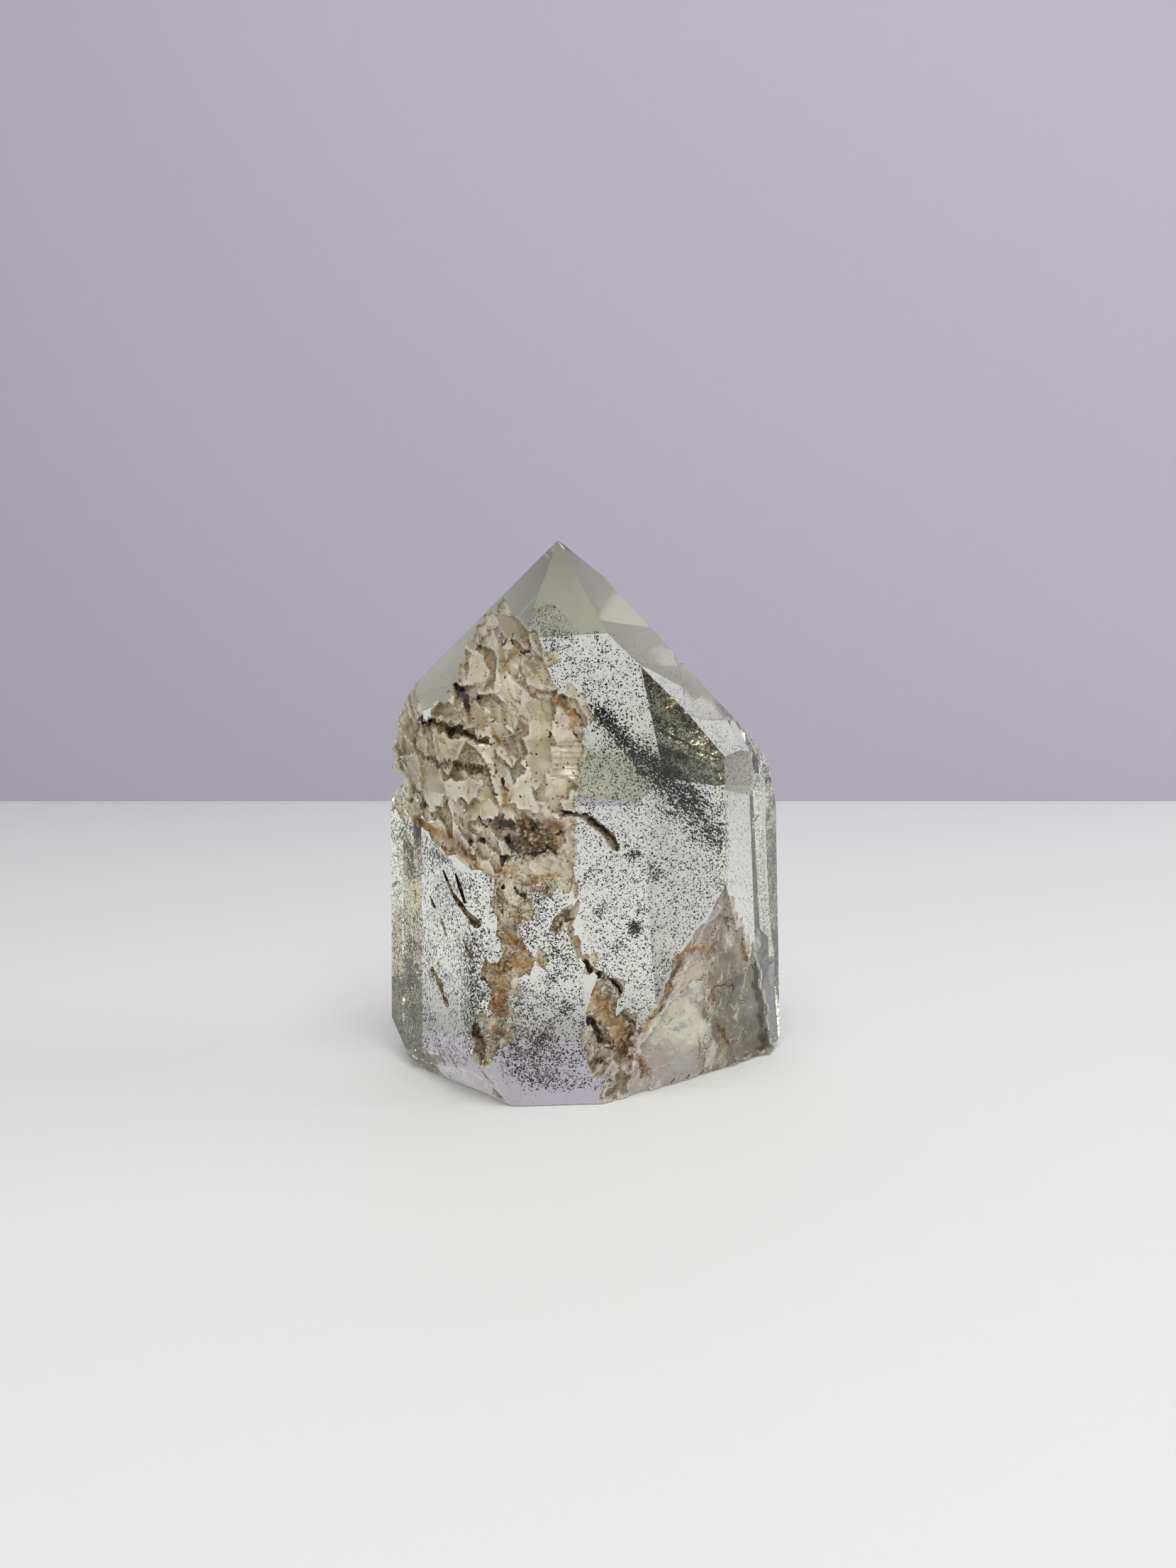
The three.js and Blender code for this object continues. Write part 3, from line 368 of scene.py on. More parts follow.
# Flakes: the facet they lie under, how deep, and the outline of x and z around them with how strongly they
# clump in it, or the runs of x, z and half width along which they gather. Their smallest and largest half
# width, the longest for one unit of width, how far they lean from the facet, and the way the long ones
# point. Rust lies in healed cracks.
FLAKE_DEFAULTS = {
    "facet": "front", "outline": None, "runs": None, "material": "chlorite", "stretch": 1.8, "lean": 0.7,
    "direction": None,
}
FLAKES = {
    "flakes_front": dict(
        count=9000, depths=(0.7, 2), clumping=1.6, sizes=(0.06, 0.19),
        outline=[(-6, 64), (7, 62.5), (8, 56), (9.4, 49.5), (10.6, 45.6), (19, 44.5), (19, 30),
            (12.6, 21.4), (7, 9.5), (5.2, 10.5), (3, 15), (-0.6, 20), (-1.5, 30), (-2.5, 38), (-2, 45),
            (-1, 53), (-6, 57)]),
    "flakes_patch": dict(
        count=260, depths=(0.7, 1.6), clumping=2, sizes=(0.05, 0.14),
        outline=[(7, 59.5), (13.2, 53.5), (18.4, 47.4), (18.4, 44.6), (10.6, 45.6)]),
    "flakes_shoulder": dict(
        facet="shoulderFront", count=560, depths=(0.5, 1.6), clumping=1.6, sizes=(0.08, 0.2), stretch=1.6,
        lean=0.8),
    "flakes_right_tip": dict(
        facet="tipRight", count=300, depths=(0.6, 1.8), clumping=1.6, sizes=(0.07, 0.17), stretch=1.6,
        lean=0.8, outline=[(5, 62), (8, 62), (13, 56), (19, 50), (18, 47), (10, 55)]),
    "flakes_middle": dict(
        count=6600, depths=(1.4, 3), clumping=1.8, sizes=(0.06, 0.21),
        outline=[(-18, 32), (-2.5, 31), (-3, 26), (-2, 22), (-0.8, 18), (-0.5, 9), (2, 5), (5, 1.5),
            (-9, 1.5), (-12, 6), (-18, 7)]),
    "flakes_left": dict(
        facet="frontLeft", count=9000, depths=(0.8, 3), clumping=1.8, sizes=(0.07, 0.2), stretch=2.4,
        lean=0.6, direction=(0.2, 0, 1),
        outline=[(-29.5, 40), (-18, 33), (-14.5, 30), (-13.5, 5), (-24, 2), (-29.5, 2)]),
    "flakes_tip": dict(
        facet="tipFront", count=900, depths=(0.6, 2), clumping=2.4, sizes=(0.05, 0.13), stretch=1.6,
        lean=0.8, outline=[(-9, 66), (-5, 67), (4, 59), (-5, 58)]),
    "flakes_right": dict(
        facet="right", count=3000, depths=(0.6, 1.6), clumping=1.6, sizes=(0.07, 0.2), lean=0.8),
    "flakes_back": dict(
        facet="back", count=600, depths=(1, 4), clumping=3, sizes=(0.055, 0.16), lean=0.8),
    "rust_middle": dict(
        material="rust", count=900, depths=(0.6, 2.2), clumping=5, sizes=(0.06, 0.2), stretch=2, lean=0.5,
        outline=[(-13, 32), (-6, 31.5), (-8, 25), (-5, 20), (-4.5, 10), (-3, 4), (-11, 2), (-13.6, 8),
            (-13.6, 20)]),
    "flakes_band": dict(
        count=3200, depths=(1, 2.4), sizes=(0.07, 0.23), stretch=2.4, lean=0.5, direction=(0.75, 0, -0.65),
        runs=[
            [(1.2, 53.4, 1.1), (3.2, 51, 1.4), (5.6, 48.4, 1.6)],
            [(5.4, 48.6, 2), (8, 46, 2.1), (10, 44, 2)],
            [(9.6, 45, 1.8), (12, 42.4, 2.8), (14, 39.8, 2.8)],
            [(13.6, 41.6, 2.6), (16, 37.8, 3), (17.4, 35, 2.6)]]),
    "flakes_clumps": dict(
        count=1400, depths=(1, 2.2), sizes=(0.07, 0.22), direction=(1, 0, 0),
        runs=[
            [(3.2, 20.9, 1), (4.8, 21.9, 1)], [(-0.6, 30.4, 1), (0.6, 31.6, 1)], [(8.8, 31.4, 1.4)],
            [(5.4, 33.7, 1), (6.4, 34.4, 1)], [(7, 27, 1.2)], [(1.2, 26, 1), (2, 26.9, 1)],
            [(2.6, 15, 1.4)], [(6.2, 24, 1)], [(-7.2, 26.6, 1.2), (-6.3, 28, 1.2)], [(-6, 29.6, 1.2)],
            [(-4.6, 21, 1.4)], [(-5.6, 16.6, 1.2), (-4.6, 17.8, 1.2)], [(-3.2, 13, 1.4)],
            [(-7.4, 8.2, 1.4), (-6, 9.2, 1.4)]]),
    "flakes_foot": dict(
        count=700, depths=(0.7, 2), sizes=(0.06, 0.2), direction=(1, 0, 0),
        runs=[
            [(-11.6, 6, 1.4), (-9.4, 4.6, 1.8), (-7, 4.8, 1.6)], [(-10.4, 7.4, 1.2), (-7.6, 6.6, 1.6)],
            [(-6.4, 5.6, 1.4), (-3.4, 7, 1.2)], [(-8.4, 3, 1), (-4, 3.2, 1)]]),
    "flakes_corner": dict(
        facet="frontLeft", count=800, depths=(0.8, 2.4), sizes=(0.07, 0.2), stretch=2.2, lean=0.6,
        direction=(0.2, 0, 1),
        runs=[
            [(-26, 28.6, 1.3), (-24.8, 30, 1)], [(-26.4, 22, 1)], [(-26, 11, 1.6), (-24.6, 14, 1.4)],
            [(-23, 9, 1.4), (-20.4, 8.4, 1.6)], [(-21.4, 33.4, 1.2), (-18.8, 32.6, 1)], [(-25, 18, 1.2)]]),
}


def linear(red, green, blue):
    """Colour for a shader from the usual 0 to 255 values."""
    return [(value / 255) ** 2.2 for value in (red, green, blue)] + [1]


# Colours of the natural surface and of its stains.
WHITE = linear(252, 251, 246)
CREAM = linear(236, 224, 188)
PINKISH = linear(219, 199, 173)
GLASSY_GREEN = linear(212, 210, 174)
GLASSY_BROWN = linear(204, 176, 138)
# Painted shade for the hollows of the natural surface.
HOLLOW_SHADE = linear(146, 118, 78)
BEIGE = linear(192, 168, 127)
DIRT = linear(104, 76, 44)
OCHRE = linear(174, 126, 64)
OCHRE_DEEP = linear(122, 80, 37)
BROWN = linear(102, 72, 36)
BROWN_DEEP = linear(62, 42, 20)
BLACK = linear(24, 18, 12)

# Grains of the natural surface's noises, and the stretch of its streaks along the axes.
FINE_GRAIN = 0.5
BROAD_GRAIN = 3
STREAK_STRETCH = (0.6, 1, 4)

# Where in a noise, in the tone or in the frost each change of colour or finish starts and is complete.
TO_GREEN = (0.42, 0.56)
TO_CREAM = (0.36, 0.46)
TO_BEIGE = (0.15, 0.45)
TO_PALE = (0.45, 0.75)
TO_STREAK = (0.55, 0.66)
TO_DIRT = (0.45, 0.62)
TO_OCHRE_SPECK = (0.45, 0.55)
TO_FROSTED = (0, 0.8)
TO_MILKY = (0.2, 0.8)
TO_OCHRE = (0.4, 0.6)
TO_MOTTLE = (0.35, 0.65)
TO_LIGHT_GRAIN = (0.4, 0.6)

# How strongly streaks, hollows and ridges show, how milky glassy and pale surfaces are, and stained ones.
# Hollows show as painted shade, and ridges are whitened partly as a painted highlight.
STREAK_SHARE = 0.6
HOLLOW_SHADE_SHARE = 0.8
RIDGE_SHARE = 0.5
MILKY_SHARES = (0.1, 0.55)
STAIN_MILKY = 0.65

# The small dark dots: the size of their cells, the share of cells that have one, and its radius.
SPECKS = (0.7, 0.3, 0.22)

# How far fine noise eats into each stain and how strong its marks are where it is complete, the part of
# the noise that does, and how strong marks are where stains start.
STAIN_EDGES = {"ochre": (0.5, 0.9), "brown": (0.7, 0.7), "dark": (0.6, 0.2)}
STAIN_GRAIN = (0.3, 0.7)
STAIN_START = 0.02

# Roughness of polished and glassy surfaces, and the least and most of frosted ones. The strength and height
# of the natural surface's grain. The quartz's refraction, its tint and how much light it takes.
POLISHED_ROUGHNESS = 0.015
GLASSY_ROUGHNESS = 0.03
FROSTED_ROUGHNESS = (0.05, 0.2)
BUMP_STRENGTH = 0.4
BUMP_HEIGHT = 0.06
QUARTZ_IOR = 1.544
QUARTZ_TINT = (0.9, 0.91, 0.75, 1)
QUARTZ_DENSITY = 10

# The flakes' materials: dark and light shade, size of grains, and roughness.
FLAKE_MATERIALS = {
    "chlorite": (linear(11, 15, 10), linear(27, 35, 24), 1.2, 0.7),
    "rust": (linear(120, 66, 42), linear(176, 130, 78), 1.6, 0.6),
}

# The camera's place, its pitch below the level in degrees, lens, sensor, and the nearest that it sees.
CAMERA_PLACE = (-0.1, -175.3, 60)
CAMERA_PITCH = 6.045
LENS = 27.05
SENSOR_WIDTH = 36
NEAREST = 10

# The floor lies a hair below the stone, so that the base keeps its own surface. A look is a colour and a
# roughness.
FLOOR_HEIGHT = -0.15
FLOOR_FRONT = -1200
STAGE_SIDE = 1500
WALL_DISTANCE = 323
WALL_HEIGHT = 420
FLOOR_LOOK = (linear(232, 233, 231), 0.6)
WALL_LOOK = (linear(190, 184, 200), 0.9)

# Two large soft lights, low on the right and high above the front: place, size, power and colour.
LIGHTS = {
    "side_light": ((775, 70, 380), 520, 2.1, (1, 0.99, 0.97)),
    "front_light": ((35, -400, 730), 640, 5.1, (1, 1, 0.99)),
}
LIGHT_TARGET = (0, 0, 35)

# The sky, and where in Y and Z its bright part starts and is complete.
WORLD_DARK = (0.08, 0.08, 0.08, 1)
WORLD_BRIGHT = (0.31, 0.315, 0.32, 1)
BRIGHT_BEHIND = (-0.6, 0.5)
BRIGHT_ABOVE = (0, 0.7)

# Light goes through many facets before it leaves the stone.
LIGHT_BOUNCES = 24
GLOSSY_BOUNCES = 16


def facet_plane(azimuth, rise, reach, height):
    """Outward normal and distance along it of a facet's plane."""
    around, up = math.radians(azimuth), math.radians(rise)
    normal = np.array([math.cos(around) * math.cos(up), math.sin(around) * math.cos(up), math.sin(up)])
    on_plane = np.array([reach * math.cos(around), reach * math.sin(around), height])
    return normal, float(normal @ on_plane)


PLANES = {name: facet_plane(*facet) for name, facet in FACETS.items()}


def in_scene(name, data):
    """Object in the scene that holds a mesh, a light or a camera."""
    thing = bpy.data.objects.new(name, data)
    bpy.context.scene.collection.objects.link(thing)
    return thing


def new_object(name, vertices, faces):
    """Mesh object in metres from vertices in millimetres and faces that all have as many corners."""
    corners = faces.shape[1]
    mesh = bpy.data.meshes.new(name)
    mesh.vertices.add(len(vertices))
    mesh.vertices.foreach_set("co", (vertices * MM).astype(np.float32).ravel())
    mesh.loops.add(faces.size)
    mesh.loops.foreach_set("vertex_index", faces.astype(np.int32).ravel())
    mesh.polygons.add(len(faces))
    mesh.polygons.foreach_set("loop_start", np.arange(0, faces.size, corners, dtype=np.int32))
    mesh.update(calc_edges=True)
    mesh.validate()
    return in_scene(name, mesh)


def polished_crystal():
    """Block trimmed by every facet's plane."""
    trimmed = bmesh.new()
    bmesh.ops.create_cube(trimmed, size=RAW_SIZE * MM)
    bmesh.ops.translate(trimmed, verts=trimmed.verts, vec=(0, 0, RAW_SIZE / 2 * MM))
    for normal, distance in PLANES.values():
        everything = trimmed.verts[:] + trimmed.edges[:] + trimmed.faces[:]
        bmesh.ops.bisect_plane(trimmed, geom=everything, plane_co=Vector(normal * distance * MM),
                               plane_no=Vector(normal), clear_outer=True)
        open_edges = [edge for edge in trimmed.edges if edge.is_boundary]
        bmesh.ops.holes_fill(trimmed, edges=open_edges)
    bmesh.ops.recalc_face_normals(trimmed, faces=trimmed.faces)
    mesh = bpy.data.meshes.new("polished")
    trimmed.to_mesh(mesh)
    trimmed.free()
    return in_scene("quartz", mesh)


def scatter(i, j, k):
    """Number from 0 to 1 that a cell always has. The four numbers below only mix its digits."""
    value = np.sin(i * 127.1 + j * 311.7 + k * 74.7) * 43758.5453
    return value - np.floor(value)


def nearest_plate(x, z, size, length, direction):
    """The plate of a field that each point lies on: its cell, and the point's place from its middle."""
    turn = math.radians(direction)
    along = (x * math.cos(turn) + z * math.sin(turn)) / (size * length)
    across = (z * math.cos(turn) - x * math.sin(turn)) / size
    nearest = np.full(x.shape, np.inf)
    found = [np.zeros(x.shape) for _ in range(4)]
    for step_i in (-1, 0, 1):
        for step_j in (-1, 0, 1):
            i = np.floor(along) + step_i
            j = np.floor(across) + step_j
            u = along - i - scatter(i, j, 1)
            v = across - j - scatter(i, j, 2)
            apart = u * u + v * v
            closer = apart < nearest
            nearest = np.where(closer, apart, nearest)
            found = [np.where(closer, new, old) for new, old in zip((i, j, u, v), found)]
    return found


def plate_field(x, z, size, length, direction):
    """Height of a field of flat tilted plates, about -1 to 1, and a tone from 0 to 1 for each plate."""
    i, j, u, v = nearest_plate(x, z, size, length, direction)
    level, tilt_along, tilt_across = (scatter(i, j, k) - 0.5 for k in (3, 4, 5))
    return level + u * tilt_along + PLATE_TILT * v * tilt_across, scatter(i, j, 6)


def ragged(x, z, direction, share):
    """Points moved by a share of the way to their small plate's middle, which makes outlines ragged."""
    turn = math.radians(direction)
    _, _, u, v = nearest_plate(x, z, RAGGED_SIZE, RAGGED_LENGTH, direction)
    back = share * u * RAGGED_SIZE * RAGGED_LENGTH
    aside = share * v * RAGGED_SIZE
    return (x - back * math.cos(turn) + aside * math.sin(turn),
            z - back * math.sin(turn) - aside * math.cos(turn))


def from_segment(x, z, start, end):
    """Distance of points from a segment, and how far along it they are, from 0 to 1."""
    (ax, az), (bx, bz) = start[:2], end[:2]
    squared = (bx - ax) ** 2 + (bz - az) ** 2
    share = ((x - ax) * (bx - ax) + (z - az) * (bz - az)) / squared if squared else np.zeros(x.shape)
    along = np.clip(share, 0, 1)
    return np.hypot(x - ax - along * (bx - ax), z - az - along * (bz - az)), along


def inside_by(x, z, outline):
    """Distance of points inside an outline, negative outside it."""
    nearest = np.full(x.shape, np.inf)
    inside = np.zeros(x.shape, bool)
    for start, end in zip(outline, outline[1:] + outline[:1]):
        nearest = np.minimum(nearest, from_segment(x, z, start, end)[0])
        (ax, az), (bx, bz) = start, end
        if az != bz:
            inside ^= ((az > z) != (bz > z)) & (x < ax + (z - az) / (bz - az) * (bx - ax))
    return np.where(inside, nearest, -nearest)


def smooth_noise(x, z, size, seed):
    """Noise from 0 to 1 that changes smoothly over a size."""
    u, v = x / size, z / size
    i, j = np.floor(u), np.floor(v)
    fu, fv = u - i, v - j
    su, sv = fu * fu * (3 - 2 * fu), fv * fv * (3 - 2 * fv)
    low = scatter(i, j, seed) * (1 - su) + scatter(i + 1, j, seed) * su
    high = scatter(i, j + 1, seed) * (1 - su) + scatter(i + 1, j + 1, seed) * su
    return low * (1 - sv) + high * sv


def break_depth(x, z, worn, shape):
    """Depth of a broken surface below the polished one, negative outside its outline, and its tone."""
    size, height, length, direction = shape["plates"]
    inwards = inside_by(*ragged(x, z, direction, shape["ragged"]), shape["outline"])
    large, large_tone = plate_field(x, z, size, length, direction)
    small, small_tone = plate_field(x, z, FINE_SIZE, FINE_LENGTH, direction + FINE_TURN)
    plates = (height * large + shape["fine"] * small) * np.minimum(1, inwards / PLATES_WITHIN)
    wear = worn * np.minimum(1, inwards / WEAR_WITHIN)
    broad = np.minimum(shape["depth"], shape["edge"] + shape["slope"] * inwards)
    carved = np.maximum(broad + wear + plates, LEAST_BREAK)
    outside = np.maximum(shape["edge"] + BORDER_SLOPE * inwards, -CLEARANCE)
    tone = LARGE_TONE * large_tone + SMALL_TONE * small_tone
    return np.where(inwards < 0, outside, carved), tone


def cut_depth(x, z, depth, run):
    """Depth of a slit, pit or groove, rounded across, negative outside it."""
    deepest = np.full(x.shape, -CLEARANCE)
    for start, end in zip(run, run[1:] or run):
        apart, along = from_segment(x, z, start, end)
        across = apart / (start[2] + along * (end[2] - start[2]))
        deepest = np.maximum(deepest, depth * (1 - across * across))
    return deepest


def carve(field, where, **values):
    """Gives the relief new values in the places that a mask names."""
    for name, value in values.items():
        field[name] = np.where(where, value, field[name])


def carve_breaks(field, worn):
    for shape in BREAKS.values():
        depth, tone = break_depth(field["x"], field["z"], worn, shape)
        carve(field, depth > field["depth"], depth=depth, tone=tone, frost=shape["frost"])


def carve_shards(field, worn):
    """Flat shards, which are curved a little and carry fine plates."""
    x, z = field["x"], field["z"]
    jagged = ragged(x, z, SHARD_DIRECTION, SHARD_RAGGED)
    curve = SHARD_CURVE * (smooth_noise(x, z, SHARD_CURVE_SIZE, SHARD_SEED) - 0.5)
    curve += SHARD_FINE * plate_field(x, z, FINE_SIZE, FINE_LENGTH, SHARD_DIRECTION)[0]
    for first_depth, tilt, tone, outline in SHARDS.values():
        at_x, at_z = outline[0]
        tilted = tilt[0] * (x - at_x) + tilt[1] * (z - at_z)
        depth = np.maximum(first_depth + worn + tilted + curve, LEAST_SHARD)
        carve(field, inside_by(*jagged, outline) >= 0, depth=depth, tone=tone)


def carve_growth_lines(field):
    x, z = field["x"], field["z"]
    stepped = GROWTH_HEIGHT * (z / GROWTH_SPACING - np.floor(z / GROWTH_SPACING))
    carve(field, inside_by(x, z, GROWTH_OUTLINE) > 0, depth=field["depth"] + stepped, tone=GROWTH_TONE)


def carve_cuts(field):
    for deepest, share, run in CUTS.values():
        depth = cut_depth(*ragged(field["x"], field["z"], CUT_DIRECTION, share), deepest, run)
        carve(field, depth > field["depth"], depth=depth, tone=CUT_TONE, frost=CUT_FROST)


def relief():
    """The front's relief on a grid of x and z: its depth and y, and the tone and frost of its surface."""
    across = round(RELIEF_WIDTH / GRID) + 1
    upwards = round((RELIEF_HIGH - RELIEF_LOW) / GRID) + 1
    x, z = np.meshgrid(np.linspace(-RELIEF_WIDTH / 2, RELIEF_WIDTH / 2, across),
                       np.linspace(RELIEF_LOW, RELIEF_HIGH, upwards), indexing="ij")
    reaches = [(normal[0] * x + normal[2] * z - distance) / normal[1]
               for normal, distance in PLANES.values() if normal[1] < FRONT_FACING]
    polished = np.minimum.reduce(reaches)
    worn = WORN_RADIUS * np.log(sum(np.exp((polished - reach) / WORN_RADIUS) for reach in reaches))
    field = {"x": x, "z": z, "depth": np.full(x.shape, -CLEARANCE), "tone": np.full(x.shape, 0.5),
             "frost": np.zeros(x.shape)}
    carve_breaks(field, worn)
    carve_shards(field, worn)
    carve_growth_lines(field)
    carve_cuts(field)
    return {**field, "y": field["depth"] - polished}


def relief_block(field):
    """Closed block of everything in front of the relief."""
    x, z = field["x"], field["z"]
    rows, columns = x.shape
    near = np.stack([x, field["y"], z], -1).reshape(-1, 3)
    far = np.stack([x, np.full(x.shape, -RAW_SIZE / 2), z], -1).reshape(-1, 3)
    index = np.arange(rows * columns).reshape(rows, columns)
    quads = np.stack([index[:-1, :-1], index[:-1, 1:], index[1:, 1:], index[1:, :-1]], -1).reshape(-1, 4)
    rim = np.concatenate([index[:, 0], index[-1, 1:], index[-2::-1, -1], index[0, -2:0:-1]])
    following = np.roll(rim, -1)
    behind = rows * columns
    walls = np.stack([rim, following, following + behind, rim + behind], -1)
    faces = np.concatenate([quads, quads[:, ::-1] + behind, walls])
    return new_object("relief", np.concatenate([near, far]), faces)


def cut_away(solid, block):
    """Takes the block out of the solid, for good."""
    modifier = solid.modifiers.new("cut", "BOOLEAN")
    modifier.operation = "DIFFERENCE"
    modifier.solver = "MANIFOLD"
    modifier.object = block
    evaluated = solid.evaluated_get(bpy.context.evaluated_depsgraph_get())
    carved = bpy.data.meshes.new_from_object(evaluated)
    solid.modifiers.clear()
    solid.data = carved
    bpy.data.objects.remove(block)


def blurred(values, cells):
    """Box average of a grid over that many cells to each side."""
    for axis in (0, 1):
        padding = [(0, 0), (0, 0)]
        padding[axis] = (cells + 1, cells)
        total = np.cumsum(np.pad(values, padding, mode="edge"), axis)
        high = np.take(total, np.arange(2 * cells + 1, total.shape[axis]), axis)
        low = np.take(total, np.arange(0, total.shape[axis] - 2 * cells - 1), axis)
        values = (high - low) / (2 * cells + 1)
    return values


def dips(depth, reach, full):
    """How much deeper each place is than the places around it, as a share of a full dip."""
    return (depth - blurred(depth, round(reach / GRID))) / full


def sampled(field, values, points):
    """Values of a field's grid at points, each from the nearest grid point."""
    rows, columns = field["x"].shape
    i = np.rint((points[:, 0] / RELIEF_WIDTH + 0.5) * (rows - 1))
    j = np.rint((points[:, 2] - RELIEF_LOW) / (RELIEF_HIGH - RELIEF_LOW) * (columns - 1))
    return values[np.clip(i, 0, rows - 1).astype(int), np.clip(j, 0, columns - 1).astype(int)]


def stain_places(x, z):
    """Stains have ragged edges: this moves points among their runs by noise of two sizes."""
    moved = [x, z]
    for size, reach, seed in STAIN_WAVES:
        moved = [value + reach * (smooth_noise(x, z, size, seed + k) - 0.5)
                 for k, value in enumerate(moved)]
    return moved


def mark_strength(x, z, runs):
    """How strongly the marks cover points: 1 on a run's line and 0 at its half width."""
    strength = np.zeros(x.shape)
    for run in runs:
        strength = np.maximum(strength, cut_depth(x, z, 1, run))
    return strength


def read(items, name, width=1, kind=float):
    """What a mesh's vertices, edges, faces or corners hold, in rows where each holds several values."""
    values = np.zeros(len(items) * width, kind)
    items.foreach_get(name, values)
    return values.reshape(-1, width) if width > 1 else values


def store(mesh, name, domain, values):
    """Keeps values on a mesh under the name by which the material reads them."""
    attribute = mesh.attributes.new(name, "FLOAT", domain)
    attribute.data.foreach_set("value", values.astype(np.float32))


def is_polished(mesh):
    """Which faces lie on a facet's plane, or on the base."""
    centres = read(mesh.polygons, "center", 3) / MM
    normals = read(mesh.polygons, "normal", 3)
    polished = centres[:, 2] < FLAT_WITHIN
    for normal, distance in PLANES.values():
        polished |= (np.abs(centres @ normal - distance) < FLAT_WITHIN) & (normals @ normal > FLAT_COSINE)
    return polished


def dress_surface(mesh, field):
    """Stores what the material reads: where the surface is natural, its looks and its stains."""
    points = read(mesh.vertices, "co", 3) / MM
    polished = is_polished(mesh)
    store(mesh, "natural", "FACE", 1 - polished)
    carved = np.maximum(field["depth"], 0)
    dip = dips(carved, CREASE_REACH, CREASE_DEPTH)
    # The material lays painted shade into hollows, and whitens ridges partly as a painted highlight.
    hollow_shade = dips(carved, HOLLOW_REACH, HOLLOW_DEPTH)
    looks = {"crease": np.clip(dip, 0, 1), "ridge": np.clip(-dip, 0, 1), "hollow_shade": np.clip(hollow_shade, 0, 1),
             "tone": field["tone"], "frost": field["frost"]}
    for name, values in looks.items():
        store(mesh, name, "POINT", sampled(field, values, points))
    x, z = stain_places(points[:, 0], points[:, 2])
    for name, runs in STAINS.items():
        store(mesh, name, "POINT", mark_strength(x, z, runs))
    mesh.set_sharp_from_angle(angle=math.radians(SHARP_ANGLE))
    sharpen_borders(mesh, polished)


def sharpen_borders(mesh, polished):
    """Keeps the polished facets' shading flat where a natural surface meets them."""
    edge_of_corner = read(mesh.loops, "edge_index", kind=np.int32)
    corners = read(mesh.polygons, "loop_total", kind=np.int32)
    touched = np.bincount(edge_of_corner, np.repeat(polished, corners), len(mesh.edges))
    attribute = mesh.attributes["sharp_edge"]
    sharp = read(attribute.data, "value", kind=bool)
    attribute.data.foreach_set("value", sharp | (touched > 0))


def quartz_piece(field):
    """The stone: the polished crystal less everything in front of the relief."""
    crystal = polished_crystal()
    cut_away(crystal, relief_block(field))
    crystal.data.name = "quartz"
    dress_surface(crystal.data, field)
    crystal.data.materials.clear()
    crystal.data.materials.append(quartz_material())
    return crystal


def new_node(tree, kind, inputs=None, **settings):
    """Adds a node with its settings. Each input is a number or colour, or an output to link."""
    node = tree.nodes.new(kind)
    for name, value in settings.items():
        setattr(node, name, value)
    for name, value in (inputs or {}).items():
        if isinstance(value, bpy.types.NodeSocket):
            tree.links.new(value, node.inputs[name])
        else:
            node.inputs[name].default_value = value
    return node


def attribute(tree, name):
    return new_node(tree, "ShaderNodeAttribute", attribute_name=name).outputs["Fac"]


def between(tree, value, low, high):
    """0 up to low, 1 from high, and smooth between them."""
    inputs = {"Value": value, "From Min": low, "From Max": high}
    ramp = new_node(tree, "ShaderNodeMapRange", inputs, interpolation_type="SMOOTHSTEP")
    return ramp.outputs["Result"]


def calculate(tree, operation, a, b):
    node = new_node(tree, "ShaderNodeMath", {0: a, 1: b}, operation=operation)
    return node.outputs["Value"]


def product(tree, a, b):
    return calculate(tree, "MULTIPLY", a, b)


def larger(tree, a, b):
    return calculate(tree, "MAXIMUM", a, b)


def mixed_colour(tree, share, a, b):
    return new_node(tree, "ShaderNodeMix", {0: share, 6: a, 7: b}, data_type="RGBA").outputs[2]


def mixed_value(tree, share, a, b):
    return new_node(tree, "ShaderNodeMix", {0: share, 2: a, 3: b}).outputs[0]


def noise(tree, size, detail=3, distortion=0, stretch=(1, 1, 1)):
    """Noise from 0 to 1 with grains of a size in millimetres, stretched along the axes."""
    place = new_node(tree, "ShaderNodeTexCoord").outputs["Object"]
    scaled = new_node(tree, "ShaderNodeMapping", {"Vector": place, "Scale": [1 / s for s in stretch]})
    inputs = {"Vector": scaled.outputs["Vector"], "Scale": 1 / (size * MM), "Detail": detail,
              "Distortion": distortion}
    return new_node(tree, "ShaderNodeTexNoise", inputs).outputs["Fac"]


def new_material(name):
    material = bpy.data.materials.new(name)
    material.use_nodes = True
    tree = material.node_tree
    return material, tree, tree.nodes["Principled BSDF"]


def stain_mask(tree, name, fine):
    """Where a stain shows: its marks, eaten into by noise, with a soft edge."""
    eaten, width = STAIN_EDGES[name]
    missing = product(tree, between(tree, fine, *STAIN_GRAIN), eaten)
    return between(tree, calculate(tree, "SUBTRACT", attribute(tree, name), missing), STAIN_START, width)


def dots(tree, size, share, radius):
    """Round dots, in a share of the cells of a size in millimetres. Their radius is for a cell of 1."""
    place = new_node(tree, "ShaderNodeTexCoord").outputs["Object"]
    cells = new_node(tree, "ShaderNodeTexVoronoi", {"Vector": place, "Scale": 1 / (size * MM)})
    chosen = new_node(tree, "ShaderNodeSeparateColor", {"Color": cells.outputs["Color"]}).outputs["Red"]
    near = calculate(tree, "LESS_THAN", cells.outputs["Distance"], radius)
    return product(tree, near, calculate(tree, "LESS_THAN", chosen, share))


def painted(tree, colour, coats):
    """A colour under some coats, each a share and the coat's colour."""
    for share, coat in coats:
        colour = mixed_colour(tree, share, colour, coat)
    return colour


